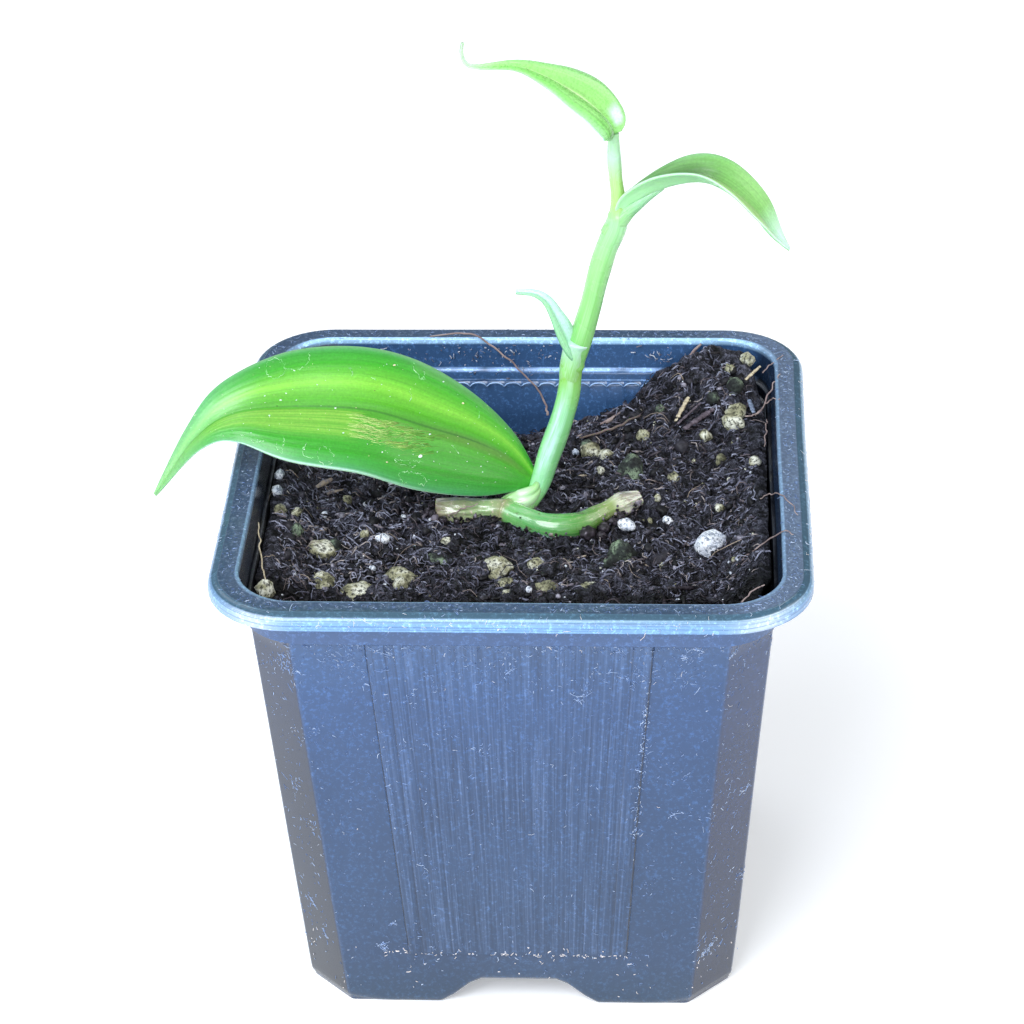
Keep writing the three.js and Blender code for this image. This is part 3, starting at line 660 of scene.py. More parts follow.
def make_lumps(name, centres, sizes, random, material, rugged=0.3, lean=0.5, shape=FINE_BALL):
    """Many small rough lumps in one piece. sizes are their three radii."""
    corners, triangles = shape
    count = len(centres)
    points = corners[None] * (1 + rugged * random.uniform(-1, 1, (count, len(corners), 1)))
    x, y, z = np.moveaxis(points * np.asarray(sizes)[:, None], 2, 0)
    turn = random.uniform(-lean, lean, count)[:, None]
    x, z = x * np.cos(turn) - z * np.sin(turn), x * np.sin(turn) + z * np.cos(turn)
    turn = random.uniform(0, 2 * math.pi, count)[:, None]
    points = np.stack([x * np.cos(turn) - y * np.sin(turn), x * np.sin(turn) + y * np.cos(turn), z], -1)
    points += np.asarray(centres)[:, None]
    faces = triangles[None] + len(corners) * np.arange(count)[:, None, None]
    piece = make_piece(name, points.reshape(-1, 3), faces.reshape(-1, 3).tolist(), material)
    tag(piece, np.repeat(random.uniform(0, 1, count), len(corners)))
    return piece


def on_wall(side, across, z):
    """Places on the pot's outer skin. across runs along a side from its middle, and on over its corners."""
    half = body_half(z)
    end = half - CUT
    past = np.clip(np.abs(across) - end, 0, None) / math.sqrt(2)
    x = np.sign(across) * (np.minimum(np.abs(across), end) + past)
    raised = np.where((np.abs(across) < panel_half(z)) & (z > PANEL_BOTTOM), PANEL_RAISE, 0)
    y = past - half - raised - 0.02
    c, s = np.cos(side * math.pi / 2), np.sin(side * math.pi / 2)
    places = np.stack([x * c - y * s, x * s + y * c, np.broadcast_to(z, x.shape)], -1)
    return warped(places.reshape(-1, 3)).reshape(places.shape)


def curl(random, first, second, length, steps=3, bend=0.7):
    """Short crooked lines on a surface, as points in its two directions, that start at given places."""
    count = len(first)
    size = length * np.exp(random.normal(0, 0.55, (count, 1))) / (steps - 1)
    start = random.uniform(0, 2 * math.pi, (count, 1))
    heading = start + np.cumsum(random.normal(0, bend, (count, steps)), 1)
    first = first[:, None] + np.cumsum(size * np.cos(heading), 1)
    return first, second[:, None] + np.cumsum(size * np.sin(heading), 1)


def wall_dust(random):
    """Curls of dust on the four sides: the points along each, their radii and tones."""
    places, radii, tones = [], [], []
    for side in range(4):
        clumps, much = (52, 1.3) if side == 0 else (18, 0.4)
        high = random.uniform(0, 1, (clumps, 1)) < 0.65
        centre = random.uniform(-37, 37, (clumps, 1))
        near_lip = 71.5 - 9 * random.uniform(0, 1, (clumps, 1)) ** 1.6
        height = np.where(high, near_lip, random.uniform(4, 60, (clumps, 1)))
        around, up = random.normal(0, 1, (2, clumps, 20)) * random.uniform(0.5, 2.8, (clumps, 1))
        edge_z = random.uniform(34, 63, 130)
        corner_z = random.uniform(8, 66, 120)
        corner = random.choice((-1, 1), 120) * (body_half(corner_z) - CUT + random.uniform(0.5, 7, 120))
        strewn = int(500 * much)
        for across, z, tone, thick in (  # clumps, strewn bits, then the lip, panel edge, corners and foot
            ((centre + around).ravel(), (height + up).ravel(), 0.4, 0.046),
            (random.uniform(-37, 37, strewn), 70 * random.uniform(0, 1, strewn) ** 0.7, 0.33, 0.04),
            (random.uniform(-34, 34, 130), 71.1 + random.normal(0, 0.4, 130), 0.5, 0.055),
            (panel_half(edge_z) + random.normal(0, 0.22, 130), edge_z, 0.5, 0.05),
            (corner, corner_z, 0.4, 0.042),
            (random.uniform(-21, 18, 90), PANEL_BOTTOM + random.normal(0, 0.3, 90), 0.9, 0.085),
            (random.uniform(-38, 38, 60), random.uniform(1.5, 12, 60), 0.9, 0.08),
        ):
            keep = (z > ARCH_HEIGHT + 0.8) | (np.abs(across) > ARCH_BOTTOM_HALF + 2)
            across, z = curl(random, across[keep], z[keep], 0.34)
            places.append(on_wall(side, across, np.clip(z, 1.2, 71.7)))
            radii.append(thick * np.exp(random.normal(0, 0.25, len(z))))
            tones.append(np.clip(tone + random.normal(0, 0.18, len(z)), 0, 1))
    return np.concatenate(places), np.concatenate(radii), np.concatenate(tones)


def in_rounded_square(x, y, half, corner):
    away = np.hypot(np.clip(np.abs(x) - half + corner, 0, None), np.clip(np.abs(y) - half + corner, 0, None))
    return away < corner


def rim_dust(random):
    """Bits on top of the flange, most of them on its front and right, and on the lip's face."""
    thrown, stuck = 26000, 420
    x, y = random.uniform(-43, 43, (2, thrown))
    keep = in_rounded_square(x, y, 43.2, RIM_CORNER - 2)
    keep &= ~in_rounded_square(x, y, MOUTH_HALF + 0.5, NECK_CORNER)
    keep &= random.uniform(0, 1, thrown) < 0.4 + 0.2 * (x > 5) + 0.3 * lattice(np.column_stack([x, y]), 6, 4)
    across, deep = curl(random, x[keep], y[keep], 0.36)
    flat = np.stack([across, deep, np.full(across.shape, POT_HEIGHT - 0.03)], -1)
    across, z = curl(random, random.uniform(-32, 32, stuck), random.uniform(77.6, 79.7, stuck), 0.45)
    inset = SHOULDER * (1 - np.sqrt(1 - np.clip((z - POT_HEIGHT + SHOULDER + 0.14) / SHOULDER, 0, 0.95) ** 2))
    side = random.integers(0, 4, (stuck, 1)) * math.pi / 2
    x, y = across, inset - RIM_HALF - 0.02
    face = np.stack([x * np.cos(side) - y * np.sin(side), x * np.sin(side) + y * np.cos(side), z], -1)
    places = np.concatenate([flat, face])
    radii = 0.042 * np.exp(random.normal(0, 0.3, len(places)))
    tones = np.concatenate([random.uniform(0, 0.7, len(flat)), random.uniform(0.5, 0.9, stuck)])
    return warped(places.reshape(-1, 3)).reshape(places.shape), radii, tones


# Limescale and dust, chalky: blue where it is thin and the plastic shows through, white where it is thick
LIMESCALE_TONES = [(0.1, "#5b73a2"), (0.4, "#8aa3cf"), (0.7, "#c3d2e8"), (0.9, "#e9ddd6"), (1, "#f1e8e4")]
LIMESCALE = toned("dried_limescale", LIMESCALE_TONES, 0.8)
random = np.random.default_rng(11)
for name, (places, radii, tones) in (("wall_dust", wall_dust(random)), ("rim_dust", rim_dust(random))):
    make_strands(name, places, radii, tones, LIMESCALE, 0.7)

# What stands out on the front face, as places across and up it: a scrape below the lip, and stuck grit
SCRAPES = (
    ((-21.1, 71.9), (-20.6, 71.2), (-19.6, 70.5), (-18.2, 70.1), (-17.4, 69.8), (-16.9, 69)),
    ((26.2, 70.3), (26.8, 71.3), (27.7, 71), (28.6, 70.7), (29.4, 71.3)),
    ((25.8, 69.6), (26.1, 69.3)),
    ((32.6, 69.1), (33.4, 69.9), (34.2, 70.6)),
    ((38.6, 41.2), (37.4, 40.4), (36.1, 40.1)),
    ((29.2, 9.7), (30.6, 10.5), (32.6, 11.5)),
    ((31.4, 11.3), (31, 10.2), (30.5, 8.9)),
    ((-34.8, 18.5), (-33.9, 17.5), (-33, 16.6)),
    ((-32, 13.2), (-31.8, 12.2), (-31.4, 11.2)),
    ((-22.1, 11.7), (-21.1, 12.3), (-20.1, 12.7)),
    ((-21.3, 10.9), (-20.8, 11.4), (-20.4, 11.9)),
    ((-19.9, 16.5), (-19.4, 16.5), (-18.8, 16.5)),
    ((23.9, 38.9), (24.8, 39.5), (26.2, 39.7)),
    ((9.7, 61.8), (10.3, 61.5), (10.9, 61.7)),
    ((-0.6, 66.4), (0.2, 67.1), (1.1, 67.6)),
    ((9, 62.9), (10.1, 62.2), (11.4, 62.4), (12.2, 63.3)),
    ((20.3, 59.9), (20.3, 56.2), (20.1, 52.4), (19.9, 48.8)),
)


def points_along(line, share):
    """Points at shares along a broken line."""
    parts = np.array(line, float).T
    return np.stack([np.interp(share * (len(line) - 1), np.arange(len(line)), part) for part in parts], -1)


lines = np.array([points_along(line, np.linspace(0, 1, 6)) for line in SCRAPES])
lines += random.normal(0, 0.07, lines.shape)
cores = on_wall(0, lines[..., 0], lines[..., 1])
make_strands("scrapes", cores, np.full(len(lines), 0.05), np.full(len(lines), 0.55), LIMESCALE)
bits = np.concatenate([points_along(line, random.uniform(0, 1, 16)) for line in SCRAPES])
bits += random.normal(0, 0.16, bits.shape)
across, z = curl(random, bits[:, 0], bits[:, 1], 0.26, bend=1.1)
radii = 0.055 * np.exp(random.normal(0, 0.3, len(bits)))
tones = np.repeat(np.where(np.arange(len(SCRAPES)) < 7, 0.62, 0.45), 16)
tones = np.clip(tones + random.normal(0, 0.12, len(bits)), 0, 1)
make_strands("stuck_grit", on_wall(0, across, z), radii, tones, LIMESCALE, 0.7)

# Dirt that splashed on the back wall's inside, as places across and up it
across, z = random.normal((-7, 76.5), (9, 1.5), (130, 2)).T
extra = random.normal((21.5, 76.9), (1.2, 0.6), (26, 2)).T
across, z = curl(random, np.concatenate([across, extra[0]]), np.concatenate([z, extra[1]]), 0.38)
z = np.clip(z, 73.2, 79)
splashes = np.stack([across, NECK_HALF - WALL - 0.05 + 0.17 * np.clip(z - 73.9, 0, 5), z], -1)
radii = 0.07 * np.exp(random.normal(0, 0.35, len(z)))
dirt = toned("dried_peat_splash", [(0, "#54505c"), (0.5, "#8f909e"), (1, "#ccd2de")], 0.8)
make_strands("peat_splashes", splashes, radii, random.uniform(0, 1, len(z)), dirt, 0.7)

# Inside the back wall the rounded tops of the flutes catch the light, as a row of thin bright arcs.
FLUTE_TOP_Z, FLUTE_TOP_DIP = 72.75, 0.7
edges = np.linspace(-1, 1, GROOVES)
across = np.linspace(edges[:-1], edges[1:], 7, axis=1) * PANEL_TOP_HALF
height = np.broadcast_to(FLUTE_TOP_Z - FLUTE_TOP_DIP * np.abs(np.linspace(-1, 1, 7)) ** 3, across.shape)
tops = np.stack([across, np.full(across.shape, BODY_TOP_HALF - 0.75), height], -1)
lit_plastic = toned("plastic_in_light", [(0, "#6f92c8"), (1, "#b4d4fa")], 0.3)
tones = random.uniform(0.3, 1, len(tops))
make_strands("flute_tops", tops, np.full(len(tops), 0.11), tones, lit_plastic, 1)

# Large leaf
# The oldest leaf: thick, leathery and folded along its middle, with veins that run from end to end. It is
# variegated, so yellow-green streaks follow the veins, and it carries dried water rings and a dry scurf.
LARGE_LEAF = {
    "spine": [
        (2.5, 4, 73.8), (-4.4, 3.4, 78.3), (-14, 2.4, 83.6), (-23.5, 1.2, 88), (-34.9, 0, 89.4),
        (-43.9, -1.4, 89.3), (-50, -2.6, 85.4), (-56.8, -3.6, 75.9),
    ],
    "half": [0.9, 6.2, 9.7, 10.5, 9.4, 5.6, 2.5, 0.35],
    "roll": [55, 48, 42, 40, 38, 38, 40, 45],
    "cup": [1, 1],
    "side": (0, 1, 0),
    "fold": 0.22,
    "soft": 0.05,
    "bulge": 0.05,
    "droop": 0.12,
    "thickness": [0.8, 0.9, 0.85, 0.8, 0.7, 0.6],
    "crease": [0.32, 0.26, 0.1, 0.04, 0.02, -0.03, -0.06, 0],
    "wave": 0.16,
    "veins": 15,
}
PETIOLE_LINE = [
    (-4.2, 0.1, 70.9), (-3, 0.4, 71.4), (-1.3, 1.2, 71.9), (0.2, 1.3, 72.2), (1.5, 1.7, 72.9),
    (2.6, 2.3, 73.9), (3, 3.1, 75.2),
]
PETIOLE_RADII = [0.9, 1.15, 1.4, 1.6, 1.45, 1, 0.5]
RIM_THICKNESS = 0.42  # of every leaf at its margins


def follow(points, t):
    """Places on the smooth curve through points, which passes its i-th one at the i-th equal step, and
    the curve's directions there."""
    points = np.asarray(points, float).reshape(len(points), -1)
    step = np.clip(t, 0, 1) * (len(points) - 1)
    start = np.minimum(step.astype(int), len(points) - 2)
    share = (step - start)[:, None]
    padded = np.vstack([2 * points[0] - points[1], points, 2 * points[-1] - points[-2]])
    before, first, second, after = (padded[start + k] for k in range(4))
    turn = (second - before) / 2
    bend = before - 2.5 * first + 2 * second - after / 2
    twist = 1.5 * (first - second) + (after - before) / 2
    place = first + share * (turn + share * (bend + share * twist))
    return place, turn + share * (2 * bend + 3 * share * twist)


def along(values, t):
    return follow(values, t)[0][:, 0]


def blade_frame(leaf, t):
    """The spine of a leaf at t, and the ways across and out of its upper side there."""
    place, way = follow(leaf["spine"], t)
    way = unit(way)
    side = np.array(leaf["side"], float)
    level = unit(side - (way @ side)[:, None] * way)
    lift = np.cross(level, way)
    roll = np.radians(along(leaf["roll"], t))[:, None]
    across = level * np.cos(roll) + lift * np.sin(roll)
    return place, across, lift * np.cos(roll) - level * np.sin(roll)


def blade_places(length_steps, width_steps):
    """Shares along a leaf, and places across it that crowd together at both margins."""
    t = np.linspace(0, 1, length_steps + 1)
    turns = np.linspace(-1, 1, width_steps + 1)
    return t, np.sin(turns * math.pi / 2) * 0.55 + turns * 0.45


BLADES = {}  # the upper side of each blade, as rows of points


def make_blade(name, leaf, material, length_steps=170, width_steps=76, seed=1):
    """A leaf's blade as a closed piece. Its blade attribute holds the place along, the place across
    and the side, 1 on top and 0 below, for the material."""
    t, c = blade_places(length_steps, width_steps)
    place, across, out = blade_frame(leaf, t)
    half = along(leaf["half"], t)[:, None]
    cup = along(leaf["cup"], t)[:, None]
    thick = along(leaf["thickness"], t)[:, None]
    s = c + along(leaf["crease"], t)[:, None] * (1 - c * c)
    grid = np.stack(np.broadcast_arrays(40 * t[:, None], 9 * c), -1).reshape(-1, 2)
    edge = np.where(c < 0, -1, 1) * np.abs(c) ** 3
    ripple = lattice(grid + (0, 60), 5.5, seed).reshape(s.shape)
    s = s + 0.012 * edge * ripple
    soft = leaf["soft"]
    wide = (np.sqrt(s * s + soft * soft) - soft) / (math.hypot(1, soft) - soft)
    shape = leaf["fold"] * wide + leaf["bulge"] * np.sin(math.pi * wide) - leaf["droop"] * wide * wide
    middle = place[:, None] + across[:, None] * (half * s)[..., None]
    wave = leaf["wave"] * np.minimum(half / 6, 1) * rough(grid, 9, 3, seed).reshape(s.shape)
    height = half * cup * shape + wave * (0.4 + 0.6 * np.abs(c))
    middle = middle + out[:, None] * height[..., None]
    normal = unit(np.cross(np.gradient(middle, axis=0), np.gradient(middle, axis=1)))
    normal *= np.sign((normal * out[:, None]).sum(-1, keepdims=True))
    inset = half * (1 - np.abs(c))
    rounding = np.minimum(inset / (RIM_THICKNESS / 2), 1)
    edge_share = np.clip(inset / 2.2, 0, 1)
    body = RIM_THICKNESS + (thick - RIM_THICKNESS) * edge_share
    reach = body / 2 * np.sqrt(1 - (1 - rounding) ** 2)
    ridges = np.cos(leaf["veins"] * math.pi * np.abs(c) ** 0.92)
    relief = 0.022 * ridges * np.minimum(half / 5, 1) * edge_share
    channel = np.exp(-((half * c / 0.45) ** 2))
    keel = np.exp(-((half * c / 0.8) ** 2))
    upper = middle + normal * (reach + relief - 0.09 * channel)[..., None]
    lower = middle - normal * (reach + 0.7 * relief + 0.3 * keel * np.minimum(half / 5, 1))[..., None]
    BLADES[name] = upper
    rings = np.concatenate([upper, lower[:, ::-1]], axis=1)
    count = rings.shape[1]
    piece = make_piece(name, rings.reshape(-1, 3), ring_faces(len(t), count), material)
    side = np.concatenate([np.ones(len(c)), np.zeros(len(c))])
    both = np.concatenate([c, c[::-1]])
    marks = np.stack(np.broadcast_arrays(t[:, None], both, side), -1).reshape(-1)
    piece.data.attributes.new("blade", "FLOAT_VECTOR", "POINT").data.foreach_set("vector", marks)
    return piece


def make_tube(name, line, radii, material, steps=60, sides=24, shape=None):
    """A round stalk along a smooth line, closed at both ends. shape may turn its radii, the share along it
    and the angle round it into other radii. Its stalk attribute holds both for the material."""
    t = np.linspace(0, 1, steps + 1)
    place, way = follow(line, t)
    way = unit(way)
    across = np.empty_like(way)
    last = np.array((0.3, 1, 0.2))
    for i, tangent in enumerate(way):
        last = last - tangent * (last @ tangent)
        last /= np.linalg.norm(last)
        across[i] = last
    other = np.cross(way, across)
    turns = np.linspace(0, 2 * math.pi, sides + 1)[:-1]
    radius = np.repeat(along(radii, t)[:, None], sides, axis=1)
    if shape:
        radius = shape(radius, t[:, None], turns[None])
    points = place[:, None] + radius[..., None] * (
        across[:, None] * np.cos(turns)[:, None] + other[:, None] * np.sin(turns)[:, None]
    )
    faces = ring_faces(steps + 1, sides)
    piece = make_piece(name, points.reshape(-1, 3), faces, material)
    marks = np.stack(np.broadcast_arrays(t[:, None], turns[None] / (2 * math.pi), 0.0), -1).reshape(-1)
    piece.data.attributes.new("stalk", "FLOAT_VECTOR", "POINT").data.foreach_set("vector", marks)
    return piece


def leaf_tissue(name, across, underside, rim, roughness, marks=None, contrast=0.16, rim_start=0.97):
    """Living leaf: a waxy skin over juicy tissue, so it has a soft gloss and light seeps through it.
    Colour follows the veins: across gives it from one margin to the other, marks adds a leaf's own."""
    material, tree, shader = new_material(name)
    blade = add(tree, "Attribute", out="Vector", attribute_name="blade")
    parts = add(tree, "SeparateXYZ", {"Vector": blade}, None)
    far, over, side = parts["X"], parts["Y"], parts["Z"]
    drift = streaks(tree, blade, (3.5, 2.2, 0))
    wander = streaks(tree, blade, (9, 26, 0), 3)
    shifted = add(tree, "Math", (wander, 0.05, over), operation="MULTIPLY_ADD")
    shifted = add(tree, "Math", (drift, 0.16, shifted), operation="MULTIPLY_ADD")
    share = add(tree, "MapRange", {"Value": shifted, "From Min": -0.895, "From Max": 1.105})
    colour = add(tree, "ValToRGB", {"Fac": share}, stops=across)
    fine = streaks(tree, blade, (2.2, 70, 0), 3, 0.6)
    broad = streaks(tree, blade, (1.3, 17, 0), 2)
    colour = shaded(tree, colour, fine, 1 - contrast, 1 + contrast)
    colour = shaded(tree, colour, broad, 1 - 0.8 * contrast, 1 + 0.8 * contrast)
    if marks:
        band = add(tree, "MapRange", {"Value": over, "From Min": -1, "From Max": 1})
        colour = marks(tree, blade, far, band, colour)
    place = add(tree, "TexCoord", out="Object")
    cells = add(tree, "TexNoise", {"Vector": place, "Scale": 2.6 / MM, "Detail": 2, "Roughness": 0.6})
    colour = shaded(tree, colour, cells, 0.9, 1.1)
    away = add(tree, "Math", (over,), operation="ABSOLUTE")
    margin = add(tree, "MapRange", {"Value": away, "From Min": rim_start, "From Max": 0.995})
    colour = add(tree, "Mix", {"Factor": margin, 6: colour, 7: rim}, 2, data_type="RGBA")
    colour = add(tree, "Mix", {"Factor": side, 6: underside, 7: colour}, 2, data_type="RGBA")
    tree.links.new(colour, shader.inputs["Base Color"])
    shader.inputs["Subsurface Weight"].default_value = 0.25
    shader.inputs["Subsurface Radius"].default_value = (0.4, 1.0, 0.2)
    shader.inputs["Subsurface Scale"].default_value = 0.8 * MM
    shader.inputs["Coat Weight"].default_value = 0.25
    shader.inputs["Coat Roughness"].default_value = 0.18
    gloss = add(tree, "MapRange", {"Value": cells, "To Min": roughness - 0.08, "To Max": roughness + 0.08})
    tree.links.new(gloss, shader.inputs["Roughness"])
    height = add(tree, "Math", (fine, cells), operation="ADD")
    bump = add(tree, "Bump", {"Height": height, "Strength": 0.45, "Distance": 0.08 * MM})
    tree.links.new(bump, shader.inputs["Normal"])
    return material


EVERYWHERE = [(0, 1), (1, 1)]


def painted(tree, colour, far, band, patches, broken=1.0):
    """Lays tints over a colour. Each patch has stops along the piece, stops across it, and its tint. broken
    may be a noise that thins them all."""
    for along_stops, across_stops, tint in patches:
        lengthwise = add(tree, "ValToRGB", (far,), stops=along_stops)
        crosswise = add(tree, "ValToRGB", (band,), stops=across_stops)
        where = add(tree, "Math", (lengthwise, crosswise), operation="MULTIPLY")
        where = add(tree, "Math", (where, broken), operation="MULTIPLY")
        colour = add(tree, "Mix", {"Factor": where, 6: colour, 7: tint}, 2, data_type="RGBA")
    return colour


def large_leaf_marks(tree, blade, far, band, colour):
    """Deeper green near its base, yellow-green streaks in its near half, painted shade along its fold, a
    painted reflection over its far half near the tip, and margins and a tip that have paled."""
    ragged = add(tree, "Math", (streaks(tree, blade, (6, 34, 0), 3), 0.1, -0.05), operation="MULTIPLY_ADD")
    reach = add(tree, "Math", (far, ragged), operation="ADD")
    colour = painted(tree, colour, reach, band, (
        ([(0, 0.45), (0.36, 0)], [(0, 1), (0.52, 1), (0.6, 0.3)], "#2a8a14"),
        (
            [(0.03, 0), (0.1, 0.7), (0.24, 0.7), (0.34, 0)],
            [(0.4, 0), (0.46, 1), (0.5, 1), (0.54, 0)],
            "#5f8a34",
        ),
    ))
    streak = streaks(tree, blade, (1.6, 30, 0), stops=[(0.38, 0.35), (0.58, 1)])
    colour = painted(tree, colour, reach, band, ((
        [(0.43, 0), (0.455, 0.9), (0.74, 0.72), (0.92, 0)],
        [(0.2, 0), (0.3, 0.9), (0.46, 1), (0.485, 0)],
        "#8dbd4c",
    ),), streak)
    return painted(tree, colour, reach, band, (
        # painted shade along the fold
        (
            [(0.1, 0), (0.2, 0.75), (0.5, 0.6), (0.66, 0)],
            [(0.488, 0), (0.497, 1), (0.503, 1), (0.512, 0)],
            "#2c6a1c",
        ),
        # painted reflection: a pale sheen over the far half near the tip
        ([(0.64, 0), (0.8, 0.4)], [(0.5, 0.1), (0.62, 1)], "#86c496"),
        ([(0.8, 0), (0.95, 0.6)], EVERYWHERE, "#8cba84"),
        (
            [(0.22, 0), (0.36, 0.51), (0.5, 0.85), (0.84, 0.85), (0.95, 0)],
            [(0.01, 1), (0.024, 0)],
            "#c4ecd8",
        ),
        ([(0.2, 0), (0.36, 0.45), (0.68, 0.45), (0.8, 0)], [(0.955, 0), (0.985, 1)], "#7fa878"),
    ))


LARGE_LEAF_ACROSS = [
    (0, "#53a46c"), (0.06, "#3f9c40"), (0.13, "#30991a"), (0.24, "#3f9f2a"), (0.42, "#52a82a"),
    (0.5, "#4a9a22"), (0.57, "#4fa80e"), (0.63, "#68b82c"), (0.68, "#80c83a"), (0.75, "#5eb22c"),
    (0.84, "#3aa21e"), (0.93, "#37942e"), (0.98, "#4c9a54"), (1, "#62a06a"),
]
variegated = leaf_tissue(
    "variegated_leaf", LARGE_LEAF_ACROSS, "#6ea65c", "#7da684", 0.34, large_leaf_marks, 0.12, 0.985
)
large_leaf = make_blade("leaf_large_blade", LARGE_LEAF, variegated)
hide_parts("leaf_large")

# On the leaf lie the rims of dried water drops and fine scratches, as places along and across it, then
# dust, and a patch of pale scurf along the veins of its near half.
WATER_RIMS = (
    (
        (0.621, 0.92), (0.605, 0.93), (0.589, 0.76), (0.587, 0.61), (0.595, 0.52), (0.613, 0.52),
        (0.625, 0.65), (0.626, 0.79), (0.621, 0.92),
    ),
    (
        (0.541, 0.92), (0.537, 0.8), (0.54, 0.71), (0.549, 0.63), (0.565, 0.58), (0.574, 0.63),
        (0.585, 0.65), (0.586, 0.77),
    ),
    ((0.593, -0.61), (0.593, -0.71), (0.599, -0.91)),
    ((0.609, -0.71), (0.608, -0.84), (0.601, -0.9)),
    (
        (0.509, -0.68), (0.498, -0.73), (0.489, -0.81), (0.492, -0.91), (0.504, -0.96), (0.518, -0.91),
        (0.522, -0.8), (0.517, -0.71),
    ),
    ((0.544, -0.68), (0.554, -0.79), (0.549, -0.87), (0.529, -0.88)),
    ((0.706, -0.73), (0.682, -0.81), (0.669, -0.86), (0.653, -0.81), (0.64, -0.76)),
    ((0.469, 0.59), (0.464, 0.53), (0.464, 0.47)),
    ((0.331, -0.83), (0.329, -0.89), (0.319, -0.94), (0.307, -0.95)),
    (
        (0.286, -0.91), (0.271, -0.92), (0.268, -0.86), (0.277, -0.81), (0.292, -0.78), (0.309, -0.79),
        (0.327, -0.82),
    ),
    ((0.364, 0.9), (0.361, 0.78), (0.343, 0.68), (0.334, 0.7)),
    ((0.341, 0.85), (0.337, 0.79), (0.342, 0.66)),
    ((0.358, 0.43), (0.349, 0.33), (0.352, 0.29)),
    ((0.432, 0.48), (0.423, 0.45)),
    ((0.356, -0.67), (0.342, -0.73), (0.313, -0.71), (0.301, -0.69)),
    ((0.351, -0.67), (0.334, -0.66), (0.308, -0.62), (0.286, -0.6)),
    ((0.236, -0.21), (0.227, -0.28), (0.218, -0.34)),
    ((0.303, -0.34), (0.293, -0.37)),
    ((0.207, 0.63), (0.207, 0.47)),
)
LEAF_SPECKS = (  # place along, place across, radius and tone, from dark through cream to white
    (0.632, 0.24, 0.13, 0.9), (0.597, 0.13, 0.17, 1), (0.585, 0.23, 0.15, 0.9), (0.563, 0.11, 0.13, 0.8),
    (0.489, -0.02, 0.17, 1), (0.624, -0.2, 0.16, 0.9), (0.473, -0.45, 0.18, 0.8), (0.548, -0.77, 0.14, 1),
    (0.523, 0.33, 0.12, 0.9), (0.496, 0.25, 0.11, 0.8), (0.567, 0.59, 0.15, 0.9), (0.397, 0.75, 0.24, 0.6),
    (0.244, 0.6, 0.2, 0.55), (0.294, 0.81, 0.15, 0.9), (0.412, 0.4, 0.1, 0.8), (0.297, -0.53, 0.36, 0.95),
    (0.368, -0.75, 0.17, 0.6), (0.384, -0.63, 0.13, 1), (0.286, -0.12, 0.2, 0.9), (0.414, -0.73, 0.1, 0.5),
    (0.263, -0.4, 0.12, 0.8), (0.266, -0.56, 0.12, 0.8), (0.206, -0.08, 0.12, 0.9),
    (0.166, -0.47, 0.12, 0.9), (0.159, -0.57, 0.12, 0.8), (0.605, 0.03, 0.11, 0),
    (0.537, -0.25, 0.1, 0.1), (0.422, 0.29, 0.12, 0.1),
)


def on_blade(name, t, c):
    """Places on a blade's upper side, from shares along it and places across it."""
    upper = BLADES[name]
    rows, columns = upper.shape[:2]
    row = np.clip(t, 0, 1) * (rows - 1)
    column = np.interp(c, blade_places(rows - 1, columns - 1)[1], np.arange(columns))
    i, j = np.minimum(row.astype(int), rows - 2), np.minimum(column.astype(int), columns - 2)
    down, side = (row - i)[..., None], (column - j)[..., None]
    first = upper[i, j] * (1 - side) + upper[i, j + 1] * side
    return first * (1 - down) + (upper[i + 1, j] * (1 - side) + upper[i + 1, j + 1] * side) * down


random = np.random.default_rng(17)
pieces = []
for line in WATER_RIMS:
    steps = 3 * (len(line) - 1)
    course = points_along(line, np.linspace(0, 1, 3 * steps + 1))
    course[1:-1] += random.normal(0, 1, (3 * steps - 1, 2)) * (0.0012, 0.012)
    pieces += [course[3 * i : 3 * i + 4] for i in range(steps) if random.uniform() < 0.86]
pieces = np.array(pieces)
rims = on_blade("leaf_large_blade", pieces[..., 0], pieces[..., 1])
# Scale that a drop leaves at its rim when it dries, a little paler than the leaf
water_scale = toned("dried_water", [(0, "#78cf72"), (0.5, "#a2e69c"), (1, "#d9f6d4")], 0.5)
thin = 0.04 * np.exp(random.normal(0, 0.3, len(rims)))
make_strands("water_rims", rims, thin, random.uniform(0, 1, len(rims)), water_scale, 0.8)

SCURF_FLAKES = 330
t = 0.262 + 0.19 * random.uniform(0, 1, SCURF_FLAKES) ** 0.6
c = random.uniform(-0.5, -0.12, SCURF_FLAKES)
length = 0.014 * np.exp(random.normal(0, 0.5, (SCURF_FLAKES, 1)))
share = np.linspace(-1, 1, 3)
lean = 0.03 * (t[:, None] < 0.4) * share * length / 0.014
far = t[:, None] + length * share
over = c[:, None] - lean + random.normal(0, 0.012, (SCURF_FLAKES, 3))
lines = on_blade("leaf_large_blade", far, over)
fall = np.clip((t - 0.26) / 0.16, 0, 1)
# Scurf: dead skin that lifts in flakes, green where it is thin and straw where it is dry
scurf = toned("pale_scurf", [(0, "#5c8f38"), (0.5, "#93bd55"), (1, "#cfe292")], 0.6)
tones = np.clip(0.25 + 0.55 * fall + random.normal(0, 0.2, SCURF_FLAKES), 0, 1)
radii = 0.035 * np.exp(random.normal(0, 0.3, SCURF_FLAKES))
make_strands("leaf_scurf", lines, radii, tones, scurf, 0.6)

t, c, radius, tone = np.array(LEAF_SPECKS).T
more = random.uniform((0.1, -0.95, 0.04, 0.5), (0.85, 0.95, 0.09, 1.0), (110, 4))
t, c, radius, tone = (np.concatenate(pair) for pair in zip((t, c, radius, tone), more.T))
sizes = radius[:, None] * random.uniform(0.75, 1.2, (len(t), 3)) * (1, 1, 0.5)
